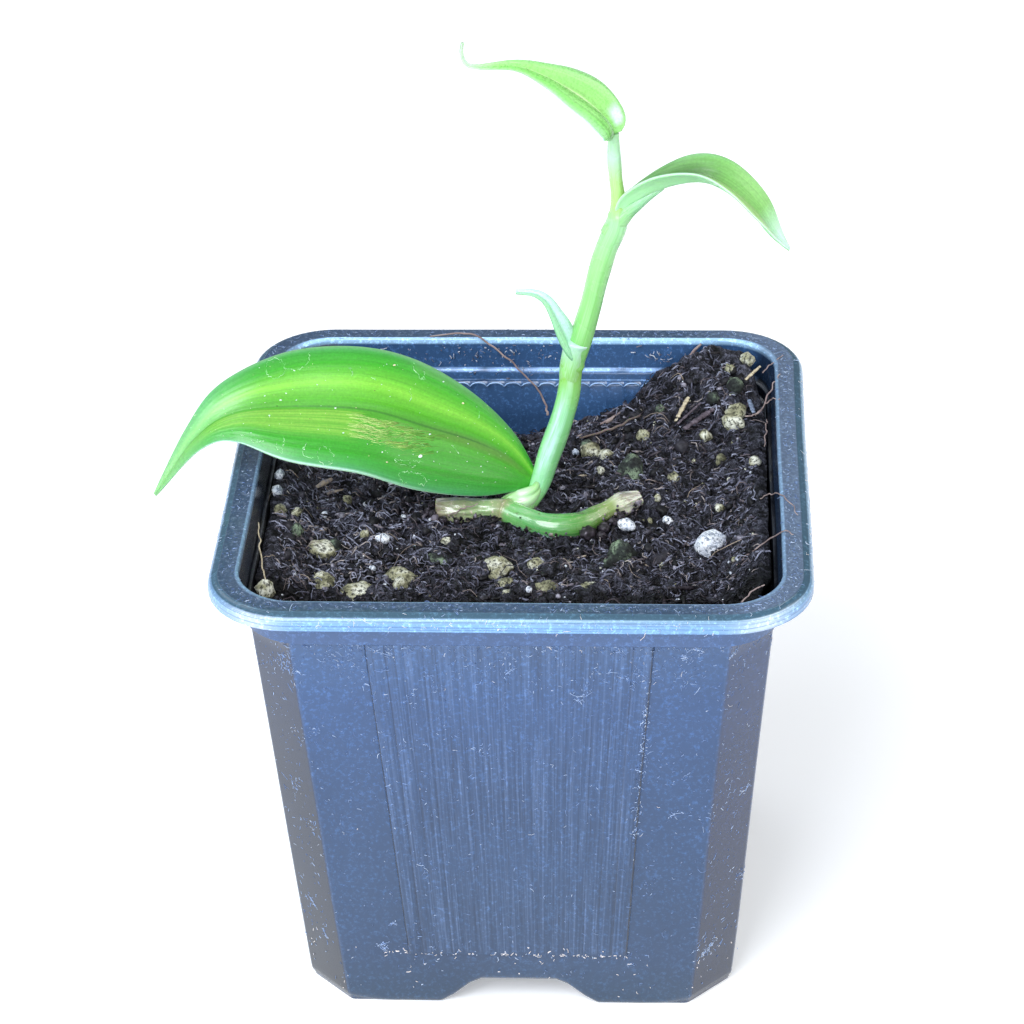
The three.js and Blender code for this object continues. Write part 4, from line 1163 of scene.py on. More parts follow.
# Dust: dark dots of rot, cream grains of peat and white grains of perlite
SPECK_TONES = [(0, "#2f5a1c"), (0.3, "#9a8a58"), (0.6, "#e6d9b2"), (0.8, "#cfeedd"), (1, "#f2fbf6")]
speck_skin = toned("leaf_dust", SPECK_TONES, 0.6)
places = on_blade("leaf_large_blade", t, c)
specks = make_lumps("leaf_specks", places, sizes, random, speck_skin, 0.15, 0.2)
tag(specks, np.repeat(tone, len(FINE_BALL[0])))

# Petiole
# The large leaf's short stalk: pale, glossy and twisted once. It grew as one with the blade and comes out
# of the old stem's joint, tight against the foot of the shoot.


def twisted(radius, t, turn):
    """A flattened section that turns as it goes along, with a groove on one side."""
    angle = turn - 2.6 * t
    return radius * (1 + 0.14 * np.cos(2 * angle) - 0.22 * np.exp(-((np.sin((angle - 1) / 2) / 0.16) ** 2)))


def stalk_tissue(name, along_stops, edge_tint, roughness, coat=0.4, marks=None):
    """Living stalk: smooth waxy skin over watery tissue, with fine fibres that run along it. It is paler
    and glossier than a leaf, and light seeps through it."""
    material, tree, shader = new_material(name)
    stalk = add(tree, "Attribute", out="Vector", attribute_name="stalk")
    parts = add(tree, "SeparateXYZ", {"Vector": stalk}, None)
    place = add(tree, "TexCoord", out="Object")
    cloud = add(tree, "TexNoise", {"Vector": place, "Scale": 0.26 / MM, "Detail": 3})
    drift = add(tree, "Math", (cloud, 0.05, -0.025), operation="MULTIPLY_ADD")
    far = add(tree, "Math", (drift, parts["X"]), operation="ADD")
    colour = add(tree, "ValToRGB", (far,), stops=along_stops)
    line = streaks(tree, stalk, (5, 60, 0))
    tint = add(tree, "MapRange", {"Value": line, "From Min": 0.4, "From Max": 0.8, "To Max": 0.45})
    colour = add(tree, "Mix", {"Factor": tint, 6: colour, 7: edge_tint}, 2, data_type="RGBA")
    if marks:
        colour = marks(tree, stalk, parts["X"], parts["Y"], colour)
    tree.links.new(colour, shader.inputs["Base Color"])
    shader.inputs["Subsurface Weight"].default_value = 0.35
    shader.inputs["Subsurface Radius"].default_value = (0.5, 1.0, 0.3)
    shader.inputs["Subsurface Scale"].default_value = 1.2 * MM
    shader.inputs["Coat Weight"].default_value = coat
    shader.inputs["Coat Roughness"].default_value = 0.15
    gloss = add(tree, "MapRange", {"Value": cloud, "To Min": roughness - 0.06, "To Max": roughness + 0.1})
    tree.links.new(gloss, shader.inputs["Roughness"])
    bump = add(tree, "Bump", {"Height": line, "Strength": 0.3, "Distance": 0.05 * MM})
    tree.links.new(bump, shader.inputs["Normal"])
    return material


PETIOLE_COLOURS = [
    (0, "#7f9c55"), (0.22, "#6fb04a"), (0.4, "#9ccf86"), (0.55, "#c9e8bf"), (0.8, "#a3d68e"),
    (1, "#6aa84c"),
]
petiole_skin = stalk_tissue("petiole_skin", PETIOLE_COLOURS, "#d3ecca", 0.2)
petiole = make_tube(
    "leaf_large_petiole", PETIOLE_LINE, PETIOLE_RADII, petiole_skin, 90, 32, twisted
)
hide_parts("leaf_large")

# Right leaf
# A young leaf, thin and soft. Its base clasps the stem as a channel, its near half is folded up so that the
# pale underside shows, and its tip ends in a small dry hook.
RIGHT_LEAF = {
    "spine": [
        (16.2, 4, 120.6), (17.6, 3.9, 123.6), (22.4, 3.6, 126.2), (27.7, 3, 127.4), (31.7, 2.2, 126.4),
        (35.8, 1.6, 123), (38.7, 1.2, 119.2), (41.4, 1, 116.6),
    ],
    "half": [1.3, 2, 3.5, 3.5, 3.8, 3.3, 2, 0.35],
    "roll": [20, 21, 14, -1, -11, -16, -13, -10],
    "cup": [1.1, 0.9, 0.9, 1.15, 0.9, 0.75, 0.8, 0.5],
    "side": (0, -1, 0),
    "fold": 0.7,
    "soft": 0.16,
    "bulge": 0.05,
    "droop": 0.1,
    "thickness": [2.2, 1.3, 0.8, 0.7, 0.65, 0.6],
    "crease": [0, 0],
    "wave": 0.1,
    "veins": 9,
}
RIGHT_LEAF_ACROSS = [
    (0, "#8cc088"), (0.1, "#74ad5e"), (0.3, "#6da555"), (0.42, "#669c4a"), (0.5, "#6a9c50"),
    (0.62, "#8fbc6c"), (0.85, "#a6cc84"), (1, "#b8dca0"),
]


def veined(tree, blade, colour, strength):
    """Adds darker veins along a young leaf."""
    vein = streaks(tree, blade, (2.5, 22, 0), 3, 0.65, [(0.4, strength), (0.52, 0)])
    return add(tree, "Mix", {"Factor": vein, 6: colour, 7: "#5a9444"}, 2, data_type="RGBA")


def right_leaf_marks(tree, blade, far, band, colour):
    """Painted shade inside the bend of its far half, lighter beyond it, and a tip that has dried pale,
    lightened further by a painted highlight.
    """
    colour = painted(tree, colour, far, band, (
        ([(0.42, 0), (0.66, 0.5), (0.85, 0.5)], EVERYWHERE, "#94d474"),
        # painted shade inside the bend
        ([(0.12, 0), (0.26, 0.9), (0.42, 0.9), (0.56, 0)], [(0.18, 0), (0.4, 1), (1, 1)], "#3c6c28"),
        ([(0.5, 0), (0.6, 0.8), (0.8, 0.8)], [(0.5, 0), (0.56, 1), (1, 1)], "#b4dc90"),
        # the dry tip, with a painted highlight
        ([(0.74, 0), (0.9, 1)], EVERYWHERE, "#cdf2dc"),
    ))
    return veined(tree, blade, colour, 0.35)


soft_leaf = leaf_tissue(
    "young_leaf_right", RIGHT_LEAF_ACROSS, "#a4dea2", "#c0eaca", 0.34, right_leaf_marks, 0.16, 0.972
)
right_leaf = make_blade("leaf_right_blade", RIGHT_LEAF, soft_leaf, 140, 52, 3)
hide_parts("leaf_right")


def channelled(radius, t, turn):
    """A sheath that flattens and opens as it leaves the stem."""
    opening = 0.25 * t * np.exp(-((np.sin((turn - 1.6) / 2) / 0.3) ** 2))
    return radius * (1 + 0.12 * t * np.cos(2 * turn) - opening)


RIGHT_SHEATH_LINE = [
    (14.3, 4, 117.6), (15.6, 4, 119.8), (16.9, 4, 121.4), (18.3, 3.9, 122.6), (20.2, 3.8, 124.1),
    (22.4, 3.6, 125.6),
]
RIGHT_SHEATH_RADII = [1.5, 1.62, 1.4, 1.15, 0.8, 0.4]
RIGHT_SHEATH_COLOURS = [(0, "#8fc97c"), (0.4, "#86c47c"), (0.7, "#7db684"), (1, "#86b98c")]
sheath_skin = stalk_tissue("sheath_skin", RIGHT_SHEATH_COLOURS, "#b9e2b4", 0.25)
right_sheath = make_tube(
    "leaf_right_sheath", RIGHT_SHEATH_LINE, RIGHT_SHEATH_RADII, sheath_skin, 70, 32, channelled
)
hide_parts("leaf_right")

# Top leaf
# The newest leaf, still half unrolled: a pouch at its base, parallel veins over a bright far half, and a
# long thin tail that curls up.
TOP_LEAF = {
    "spine": [
        (14.9, 4, 134.3), (14.1, 3.7, 136.1), (11.6, 3, 139.3), (8.7, 2.3, 141.9), (5.3, 1.7, 144.3),
        (0.9, 1.2, 146.3), (-4.7, 0.6, 146.5), (-6.4, 0.4, 147.2), (-7, 0.3, 148.9), (-6.8, 0.3, 150.5),
    ],
    "half": [1.5, 3.6, 4.55, 3.9, 2.4, 1.05, 0.45, 0.35, 0.32, 0.3],
    "roll": [55, 28, 20, 21, 22, 27, 33, 38, 38, 38],
    "cup": [1.5, 1.4, 1.05, 1.1, 1.1, 1, 1, 1],
    "side": (0, 1, 0),
    "fold": 0.4,
    "soft": 0.2,
    "bulge": 0.15,
    "droop": 0.25,
    "thickness": [1.1, 0.9, 0.8, 0.7, 0.6, 0.6],
    "crease": [0, 0],
    "wave": 0.12,
    "veins": 9,
}
TOP_LEAF_ACROSS = [
    (0, "#a8e0a2"), (0.1, "#7cc862"), (0.28, "#8fd670"), (0.44, "#a0e07e"), (0.49, "#e2fac4"),
    (0.53, "#a0e07e"), (0.7, "#94da76"), (0.88, "#9ee28a"), (1, "#c0f2bc"),
]


def top_leaf_marks(tree, blade, far, band, colour):
    """Painted shade in the pocket and a painted highlight at its base, and the pale tail."""
    colour = veined(tree, blade, colour, 0.2)
    return painted(tree, colour, far, band, (
        # painted shade in the pocket
        ([(0.03, 0.3), (0.09, 0.75), (0.15, 0)], [(0.06, 0), (0.15, 1), (0.26, 1), (0.36, 0)], "#3c7a30"),
        # painted highlight on the pouch
        (
            [(0.05, 0), (0.09, 0.7), (0.13, 0.7), (0.17, 0)],
            [(0.58, 0), (0.66, 1), (0.74, 1), (0.82, 0)],
            "#e8fbff",
        ),
        ([(0.6, 0), (0.72, 1)], EVERYWHERE, "#bfe0bc"),
    ))


newest_leaf = leaf_tissue(
    "young_leaf_top", TOP_LEAF_ACROSS, "#a0d8a0", "#bce6c8", 0.28, top_leaf_marks, 0.2, 0.955
)
top_leaf = make_blade("leaf_top_blade", TOP_LEAF, newest_leaf, 150, 52, 5)
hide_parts("leaf_top")

# Scale leaf
# A bract at the middle joint of the shoot: it clasps the stem and bends out to a blunt hooked tip. It is
# nearly white with a glossy wax, as bracts that stay small are.
SCALE_LEAF = {
    "spine": [
        (8.6, 3.9, 96.2), (7.8, 3.2, 99), (6.9, 2.3, 102.2), (5.9, 1.7, 105.1), (4.7, 1.4, 107.5),
        (2.9, 1.1, 108.9), (0.1, 0.9, 109.3),
    ],
    "half": [1.3, 2, 1.75, 1.25, 0.92, 0.7, 0.45],
    "roll": [10, 25, 38, 42, 38, 25, 12],
    "cup": [1.3, 1],
    "side": (0, 1, 0),
    "fold": 0.4,
    "soft": 0.35,
    "bulge": 0.1,
    "droop": 0.2,
    "thickness": [0.9, 0.85, 0.8, 0.75, 0.75, 0.7],
    "crease": [0, 0],
    "wave": 0.05,
    "veins": 5,
}
SCALE_LEAF_ACROSS = [
    (0, "#98d8a2"), (0.25, "#aee8bc"), (0.5, "#c2f2d8"), (0.62, "#d2f8ea"), (1, "#aed6c4"),
]
bract = leaf_tissue("bract_tissue", SCALE_LEAF_ACROSS, "#9cd6a0", "#7cb08c", 0.22, None, 0.12, 0.93)
scale_leaf = make_blade("scale_leaf_blade", SCALE_LEAF, bract, 110, 40, 7)
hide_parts("scale_leaf")


def collared(radius, t, turn):
    """A sheath that flares at its upper edge and clasps the stem unevenly."""
    flare = 0.1 * np.exp(-(((t - 0.93) / 0.08) ** 2)) - 0.3 * np.clip((t - 0.96) / 0.04, 0, 1)
    return radius * (1 + flare + 0.04 * np.cos(3 * turn + 5 * t) * (1 - 0.5 * t))


BRACT_SHEATH_LINE = [(7.95, 3.95, 91.4), (8.2, 3.9, 94.4), (8.75, 3.85, 97.4), (9.3, 3.85, 99.7)]
BRACT_SHEATH_RADII = [1.5, 1.74, 1.88, 1.9]
BRACT_SHEATH_COLOURS = [(0, "#90cc62"), (0.4, "#98d47c"), (0.75, "#aee0b4"), (1, "#c0ecd0")]
bract_skin = stalk_tissue("bract_sheath_skin", BRACT_SHEATH_COLOURS, "#d4f6e4", 0.25)
bract_sheath = make_tube(
    "scale_leaf_sheath", BRACT_SHEATH_LINE, BRACT_SHEATH_RADII, bract_skin, 60, 40, collared
)
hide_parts("scale_leaf")

# Shoot
# The living stem: fleshy, round and smooth, a little swollen at its joints, where each leaf or bract has
# its collar. Above the right leaf it goes on as a thinner, younger length.
SHOOT_LINE = [
    (0.6, 0.6, 70.4), (2.9, 3.3, 73.6), (4.6, 4, 79), (6.4, 4, 84.5), (7.75, 4, 89.8), (8.4, 4, 95),
    (9.9, 4, 100.1), (11.4, 4, 105.6), (12.6, 4, 110.8), (13.85, 4, 115.2), (15.4, 4, 119.4),
    (15.7, 4, 123), (15.35, 4, 126.8), (15.1, 4, 130.5), (15.05, 4, 134.3),
]
SHOOT_RADII = [1.1, 1.5, 1.85, 1.85, 1.75, 1.7, 1.85, 1.68, 1.68, 1.68, 1.7, 1.15, 1, 1.05, 0.8]
JOINTS = ((0.36, 0.1), (0.74, 0.06))  # places along the shoot, and how far they swell


def jointed(radius, t, turn):
    """Swollen at its joints, faintly ribbed and a little uneven."""
    swell = sum(size * np.exp(-(((t - place) / 0.008) ** 2)) for place, size in JOINTS)
    ribs = 0.006 * np.cos(9 * turn + 3 * t) + 0.004 * np.cos(14 * turn)
    uneven = 0.02 * np.sin(23 * t + np.cos(turn)) + 0.012 * np.sin(61 * t + 2 * turn)
    return radius * (1 + swell + ribs + uneven)


SHOOT_COLOURS = [
    (0, "#7fb85e"), (0.08, "#8cd692"), (0.25, "#8ad888"), (0.34, "#90cc56"), (0.38, "#83c86a"),
    (0.62, "#8acb76"), (0.72, "#91cd8d"), (0.78, "#9ccb62"), (0.86, "#9fcd73"), (0.93, "#aad3b5"),
    (1, "#9bcc97"),
]


def shoot_marks(tree, stalk, far, round_it, colour):
    """A painted highlight up the front of its lowest length, and a scurfy streak below the bract."""
    broken = streaks(tree, stalk, (14, 30, 0), 3, 0.6, [(0.35, 0.3), (0.6, 1)])
    return painted(tree, colour, far, round_it, (
        # painted highlight
        (
            [(0.06, 0), (0.13, 0.8), (0.25, 0.8), (0.33, 0)],
            [(0.34, 0), (0.42, 1), (0.5, 1), (0.57, 0)],
            "#d8fff4",
        ),
        (
            [(0.29, 0), (0.34, 0.7), (0.4, 0.7), (0.42, 0)],
            [(0.46, 0), (0.5, 1), (0.53, 1), (0.58, 0)],
            "#d4f8e0",
        ),
    ), broken)


shoot_skin = stalk_tissue("shoot_skin", SHOOT_COLOURS, "#b4e6b0", 0.25, 0.5, shoot_marks)
shoot = make_tube("shoot", SHOOT_LINE, SHOOT_RADII, shoot_skin, 250, 36, jointed)
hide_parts("shoot_stem")

# Old stem
# The piece of vine that was cut and laid on the soil to root. Its left end has dried to a papery brown
# skin, a ring of dry fibres marks its joint, and its right end is a pale, shrunken cut.
OLD_STEM_LINE = [
    (-13.2, 0.1, 71), (-9.5, 0.1, 71.1), (-6, 0.1, 71.1), (-2.5, -0.2, 71.2), (0.5, -2.3, 71.1),
    (3.4, -3.8, 70.9), (6.6, -4.4, 70.8), (9.7, -3.6, 70.9), (12.7, -1, 71.2), (15.8, 1.2, 71.6),
    (18.9, 2.9, 72.1),
]
OLD_STEM_RADII = [1.9, 2, 1.75, 1.95, 1.95, 2.05, 2.1, 2, 1.7, 1.75, 1.6]


def shrunken(radius, t, turn):
    """Creased where it is dry, thick at its joint, and frayed and shrunk at both cuts."""
    dry = np.clip((0.3 - t) / 0.1, 0, 1) + np.clip((t - 0.84) / 0.06, 0, 1)
    creases = 0.05 * np.cos(7 * turn + 9 * t) + 0.04 * np.cos(12 * turn - 20 * t) * np.sin(37 * t)
    ring = 0.1 * np.exp(-(((t - 0.31) / 0.012) ** 2))
    uneven = 0.03 * np.sin(31 * t + 2 * np.cos(turn)) + 0.012 * np.cos(9 * turn + 5 * t)
    knots = 0.14 * np.exp(-(((t - 0.91) / 0.03) ** 2)) - 0.12 * np.exp(-(((t - 0.83) / 0.04) ** 2))
    cut = np.clip((t - 0.9) / 0.1, 0, 1) ** 2 * (0.3 + 0.25 * np.cos(turn - 2))
    frayed = np.clip((0.05 - t) / 0.05, 0, 1) ** 2 * (0.25 + 0.2 * np.cos(2 * turn + 1))
    return radius * (1 + (0.3 + 0.9 * dry) * creases + ring + uneven + knots - cut - frayed)


OLD_STEM_COLOURS = [
    (0, "#b0a48c"), (0.08, "#a2a884"), (0.22, "#8cac74"), (0.31, "#94946c"), (0.35, "#68b060"),
    (0.5, "#56a45c"), (0.66, "#4f9840"), (0.76, "#5f8c3c"), (0.84, "#8a9c5c"), (0.89, "#d2d2bc"),
    (1, "#e6e4da"),
]


def old_stem_marks(tree, stalk, far, round_it, colour):
    """A painted highlight low on its front, brown flecks, rot, and tatters at the cuts."""
    # A painted highlight low on its front, broken up by noise
    highlight_breakup = streaks(tree, stalk, (26, 9, 0), 4, 0.7, [(0.42, 0.15), (0.55, 1)])
    low_front = [(0.48, 0), (0.54, 1), (0.6, 1), (0.68, 0)]
    low_front_highlight = ([(0.36, 0), (0.4, 0.8), (0.55, 0.8), (0.68, 0)], low_front, "#bfe6d6")
    colour = painted(tree, colour, far, round_it, (low_front_highlight,), highlight_breakup)
    fleck = streaks(tree, stalk, (46, 16, 0), 4, 0.75, [(0.56, 0), (0.66, 1)])
    dry = ([(0.28, 1), (0.38, 0.25), (0.7, 0.25), (0.84, 1)], EVERYWHERE, "#d2c6ae")
    colour = painted(tree, colour, far, round_it, (dry,), fleck)
    rot = streaks(tree, stalk, (18, 7, 0), 4, 0.7, [(0.6, 0), (0.7, 0.7)])
    colour = add(tree, "Mix", {"Factor": rot, 6: colour, 7: "#4a3d28"}, 2, data_type="RGBA")
    torn = streaks(tree, stalk, (9, 13, 0), 4, 0.7, [(0.47, 0), (0.56, 0.85)])
    cuts = ([(0.03, 0.5), (0.08, 0), (0.85, 0), (0.9, 0.75)], EVERYWHERE, "#54402e")
    return painted(tree, colour, far, round_it, (cuts,), torn)


cut_vine = stalk_tissue("cut_vine_skin", OLD_STEM_COLOURS, "#a4b480", 0.24, 0.8, old_stem_marks)
old_stem = make_tube("old_stem_cut", OLD_STEM_LINE, OLD_STEM_RADII, cut_vine, 220, 40, shrunken)
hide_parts("old_stem")

# Roots
# Fleshy aerial roots that grew down into the soil from the joint of the old stem, with a dry velvety skin.
# They are hidden in the soil.
CROWN = (-2, -0.2, 70.2)
ROOT_LINES = [
    [CROWN, (-5, -2, 62), (-11, -5, 55), (-14, -10, 46), (-13, -14, 36)],
    [CROWN, (0, 3, 62), (4, 9, 55), (5, 15, 47), (3, 18, 38)],
    [CROWN, (1, -3, 61), (7, -8, 53), (13, -12, 46), (15, -14, 34)],
    [CROWN, (-3, 1, 60), (-6, 7, 52), (-12, 12, 44)],
]
ROOT_RADII = [1.1, 0.99, 0.6]


def knobbly(radius, t, turn):
    """Uneven along its length, as a root that found its way through soil."""
    return radius * (1 + 0.07 * np.sin(40 * t + np.cos(2 * turn)) + 0.04 * np.cos(5 * turn + 11 * t))


ROOT_COLOURS = [(0, "#b9b091"), (0.8, "#c4bb98"), (1, "#a9c486")]
velamen = stalk_tissue("dry_root_skin", ROOT_COLOURS, "#d8d2b8", 0.75, 0)
for number, line in enumerate(ROOT_LINES):
    root = make_tube(f"root_{number + 1}", line, ROOT_RADII, velamen, 90, 16, knobbly)
    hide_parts("roots")

# Soil
# Dark peat mix: one settled block, crumbly and matted with fibres on top, which has shrunk from the walls
# and is heaped into the back right corner. It lies on the roofs of the drain channels.
SOIL_LEVEL = 70
SOIL_BOTTOM = 5.9
SOIL_TOP_HALF = 36.4
SHRINK_START = 56  # height from which the soil has drawn back from the wall
SOIL_HEAPS = (
    (36, 38, 15, 14, 9), (-2, 38, 21, 9, -6), (-34, 34, 14, 12, -3), (30, 16, 16, 14, 1.6),
    (2, 2, 16, 8, 0.8), (0, -40, 60, 12, -1.6), (23, 38, 9, 9, 3.4), (37, 38, 9, 9, 2.4),
)
SOIL_CELLS = 216  # of the grid over its top, along a side


def soil_level(x, y):
    """Height of the heaps and hollows of the soil, without its crumbs."""
    level = SOIL_LEVEL + 0.5 * np.sin(0.61 * x + 1.3) * np.sin(0.53 * y) + 0.35 * np.sin(1.13 * x - 0.9 * y)
    for cx, cy, wide, deep, height in SOIL_HEAPS:
        level = level + height * np.exp(-(((x - cx) / wide) ** 2) - ((y - cy) / deep) ** 2)
    return level


def soil_banks(x, y):
    """How much the soil climbs towards the side walls, where it clings up to the ledge."""
    bank = np.clip((np.abs(x) - 30) / 8, 0, 1)
    fade = np.clip((44 - y) / 14, 0.25, 1) * np.clip((y + 46) / 14, 0.3, 1)
    return np.clip(75.2 - soil_level(x, y), 0, 6) * bank * bank * (3 - 2 * bank) * fade


def soil_height(x, y):
    """Height of the crumbly top of the soil."""
    flat = np.column_stack([x, y])
    clods = 0.5 * lattice(flat, 6.5, 11) + 0.55 * lattice(flat, 3.1, 12)
    crumbs = 0.8 * np.abs(lattice(flat, 1.5, 13)) + 0.5 * np.abs(lattice(flat, 0.8, 14))
    return soil_level(x, y) + soil_banks(x, y) + clods - crumbs + 0.3


def soil_ridges(x, y):
    """How much of a place is the top of a worm-like ridge, from 0 in the hollows to 1."""
    flat = np.column_stack([x, y])
    broad = np.exp(-((lattice(flat, 1.5, 13) / 0.22) ** 2))
    fine = np.exp(-((lattice(flat, 0.8, 14) / 0.3) ** 2))
    return np.clip(0.55 * broad + 0.55 * fine + 0.25 * lattice(flat, 5, 19), 0, 1)


def soil_edge(x, y):
    """Half the width of the soil's top at a place. It leans out to the rim where it is heaped high."""
    high = np.clip((soil_level(x, y) + soil_banks(x, y) - 71.5) / 3.5, 0, 1)
    return SOIL_TOP_HALF + 1.1 + 1.5 * high + 0.3 * lattice(np.column_stack([x, y]), 4, 17)


def damp_peat():
    """Damp peat with crooked threads all through it that have dried grey-violet. Its tone holds painted
    shade: nearly black in the hollows and along the front wall, with the threads only on the ridges."""
    material, tree, shader = new_material("damp_peat")
    place = add(tree, "TexCoord", out="Object")
    # tone: painted shade, low in the hollows and along the front wall
    dry = add(tree, "Attribute", out="Fac", attribute_name="tone")
    bend = add(tree, "TexNoise", {"Vector": place, "Scale": 0.6 / MM, "Detail": 2}, "Color")
    bent = add(tree, "VectorMath", (bend, (4 * MM,) * 3, place), operation="MULTIPLY_ADD")
    field = add(tree, "TexNoise", {"Vector": bent, "Scale": 0.9 / MM, "Detail": 3, "Roughness": 0.6})
    threads = add(tree, "ValToRGB", (field,), stops=[(0.4, 0), (0.49, 1), (0.58, 0)])
    ground = add(tree, "Mix", {"Factor": dry, 6: "#030304", 7: "#2c2b34"}, 2, data_type="RGBA")
    shown = add(tree, "Math", (threads, dry), operation="MULTIPLY")
    colour = add(tree, "Mix", {"Factor": shown, 6: ground, 7: "#8a8b9e"}, 2, data_type="RGBA")
    tree.links.new(colour, shader.inputs["Base Color"])
    shader.inputs["Roughness"].default_value = 0.6
    shader.inputs["Specular IOR Level"].default_value = 0.3
    bump = add(tree, "Bump", {"Height": threads, "Strength": 1.0, "Distance": 0.4 * MM})
    tree.links.new(bump, shader.inputs["Normal"])
    return material


def make_soil():
    """The block of soil: a crumbly top, and walls that follow the pot's down to its floor."""
    step = np.linspace(-1, 1, SOIL_CELLS + 1)
    across, along_y = (grid.ravel() for grid in np.meshgrid(step, step))
    corner = 2 * SOIL_TOP_HALF - CUT - 6
    beyond = np.clip((np.abs(across) + np.abs(along_y)) * SOIL_TOP_HALF - corner, 0, None)
    pull = beyond * CUT / 2 / (CUT + 6)
    x = across * SOIL_TOP_HALF - np.sign(across) * pull
    y = along_y * SOIL_TOP_HALF - np.sign(along_y) * pull
    spread = soil_edge(x, y) / SOIL_TOP_HALF
    border = np.maximum(np.abs(across), np.abs(along_y))
    x, y = x * spread, y * spread
    z = soil_height(x, y) - 0.9 * np.clip((border - 0.96) / 0.04, 0, 1) ** 2
    top = np.column_stack([x, y, z])
    side = SOIL_CELLS + 1
    number = np.arange(side * side).reshape(side, side)
    squares = (number[:-1, :-1], number[:-1, 1:], number[1:, 1:], number[1:, :-1])
    faces = np.stack(squares, -1).reshape(-1, 4)
    loop = np.concatenate([number[0, :-1], number[:-1, -1], number[-1, :0:-1], number[:0:-1, 0]])
    rings = [top]
    below = []
    for level, gap in ((71.5, 0.6), (SHRINK_START, 0.35), (SOIL_BOTTOM, 0.35)):
        reach = body_half(level) - WALL - gap
        height = np.minimum(level, top[loop, 2] - 1)
        rings.append(np.column_stack([top[loop, :2] * reach / SOIL_TOP_HALF / spread[loop, None], height]))
        below.append(len(top) + len(loop) * len(below) + np.arange(len(loop)))
    walls = []
    for upper, lower in zip([loop] + below[:-1], below):
        walls.append(np.stack([upper, lower, np.roll(lower, -1), np.roll(upper, -1)], 1))
    faces = np.concatenate([faces, *walls]).tolist() + [below[-1][::-1].tolist()]
    points = np.concatenate(rings)
    bed = make_piece("soil_bed", points, faces, damp_peat())
    # Painted shade: the tone is low in the hollows, and along the front wall as its painted shadow
    front = 1 - 0.9 * np.clip((-21 - points[:, 1]) / 5, 0, 1)
    tag(bed, front * soil_ridges(points[:, 0], points[:, 1]))
    return bed


soil = make_soil()
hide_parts("soil")

# Crumbs
# Loose lumps of peat on the soil, from half a millimetre to three across, and splinters of bark and stalk.


def clear_of_plant(x, y, margin):
    """Whether places on the soil lie clear of the old stem, the shoot's foot and the stones."""
    line = follow(OLD_STEM_LINE, np.linspace(0, 1, 120))[0]
    stem = np.hypot(x[:, None] - line[:, 0], y[:, None] - line[:, 1]).min(axis=1) > 2.1 + margin
    foot = np.hypot(x - 2.6, y - 3.2) > 2.2 + margin
    clear = stem & foot
    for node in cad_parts:
        if node.startswith(("pumice", "perlite", "peat_lump")):
            low, high = (np.array(corner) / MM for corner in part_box(node))
            middle, reach = (low + high) / 2, (high - low)[:2].max() / 2
            clear &= np.hypot(x - middle[0], y - middle[1]) > reach * 0.8 + margin
    return clear


def places_on_soil(random, count, margin):
    """Random places on the soil, clear of what grows or lies there."""
    x, y = random.uniform(-SOIL_TOP_HALF, SOIL_TOP_HALF, (2, 2 * count))
    edge = np.maximum(np.abs(x), np.abs(y)) < soil_edge(x, y) - 0.7
    corner = np.abs(x) + np.abs(y) < 2 * SOIL_TOP_HALF - CUT - 0.5
    keep = edge & corner & clear_of_plant(x, y, margin)
    return x[keep][:count], y[keep][:count]


def scatter(name, count, seed, size, stretch, material, rugged, lean, shape, sunk=0.1):
    """Lumps strewn over the soil. stretch gives their three radii as shares of the size."""
    random = np.random.default_rng(seed)
    x, y = places_on_soil(random, count, 0.3)
    radius = size * np.exp(random.normal(0, 0.45, len(x)))
    sizes = radius[:, None] * random.uniform(0.7, 1.3, (len(x), 3)) * stretch
    centres = np.column_stack([x, y, soil_height(x, y) + (0.5 - sunk) * sizes[:, 2]])
    return make_lumps(name, centres, sizes, random, material, rugged, lean, shape)


# Crumbs are black where damp and grey-violet where dry. Splinters are browner, and catch more light.
CRUMB_TONES = [(0, "#050506"), (0.6, "#111014"), (0.85, "#2f2d34"), (0.95, "#5f5c68"), (1, "#9a97a4")]
crumb_skin = toned("peat_crumb", CRUMB_TONES, 0.55)
SPLINTER_TONES = [(0, "#080608"), (0.5, "#1b161a"), (0.75, "#4a434c"), (0.9, "#7c7580"), (1, "#aa9c8a")]
splinter_skin = toned("bark_splinter", SPLINTER_TONES, 0.5)
scatter("peat_lumps", 90, 21, 0.6, (1.1, 0.85, 0.6), crumb_skin, 0.34, 0.6, FINE_BALL, 0.4)
scatter("peat_crumbs", 1900, 22, 0.3, (1, 0.9, 0.8), crumb_skin, 0.35, 0.6, COARSE_BALL)
scatter("splinters", 700, 23, 0.26, (3.2, 0.6, 0.4), splinter_skin, 0.25, 0.5, COARSE_BALL, -0.6)

# Clods that have rolled against the old stem, as places and radii
CLODS = (
    (10.9, -6.4, 70.9, 1.4), (13.4, -4.8, 71, 0.9), (14.7, -3.7, 71.4, 0.7), (12.9, -6.5, 70.6, 0.8),
    (16, -2.4, 71.5, 0.6), (-13.7, -1.4, 71.2, 0.7), (-13.9, 0.6, 71.8, 0.6),
    (-12.9, 1.9, 72.1, 0.6), (-11.9, -2.3, 70.7, 0.6), (-9.8, -2.5, 70.6, 0.5), (-14.4, -0.4, 71.1, 0.7),
)
random = np.random.default_rng(26)
x, y, z, radius = np.array(CLODS).T
sizes = radius[:, None] * random.uniform(0.85, 1.1, (len(x), 3))
clod_shape = finer_ball(*FINE_BALL)
centres = np.column_stack([x, y, z])
clods = make_lumps("peat_clods", centres, sizes, random, splinter_skin, 0.13, 0.4, clod_shape)
tag(clods, np.clip(random.normal(0.55, 0.14, len(x) * len(clod_shape[0])), 0, 1))

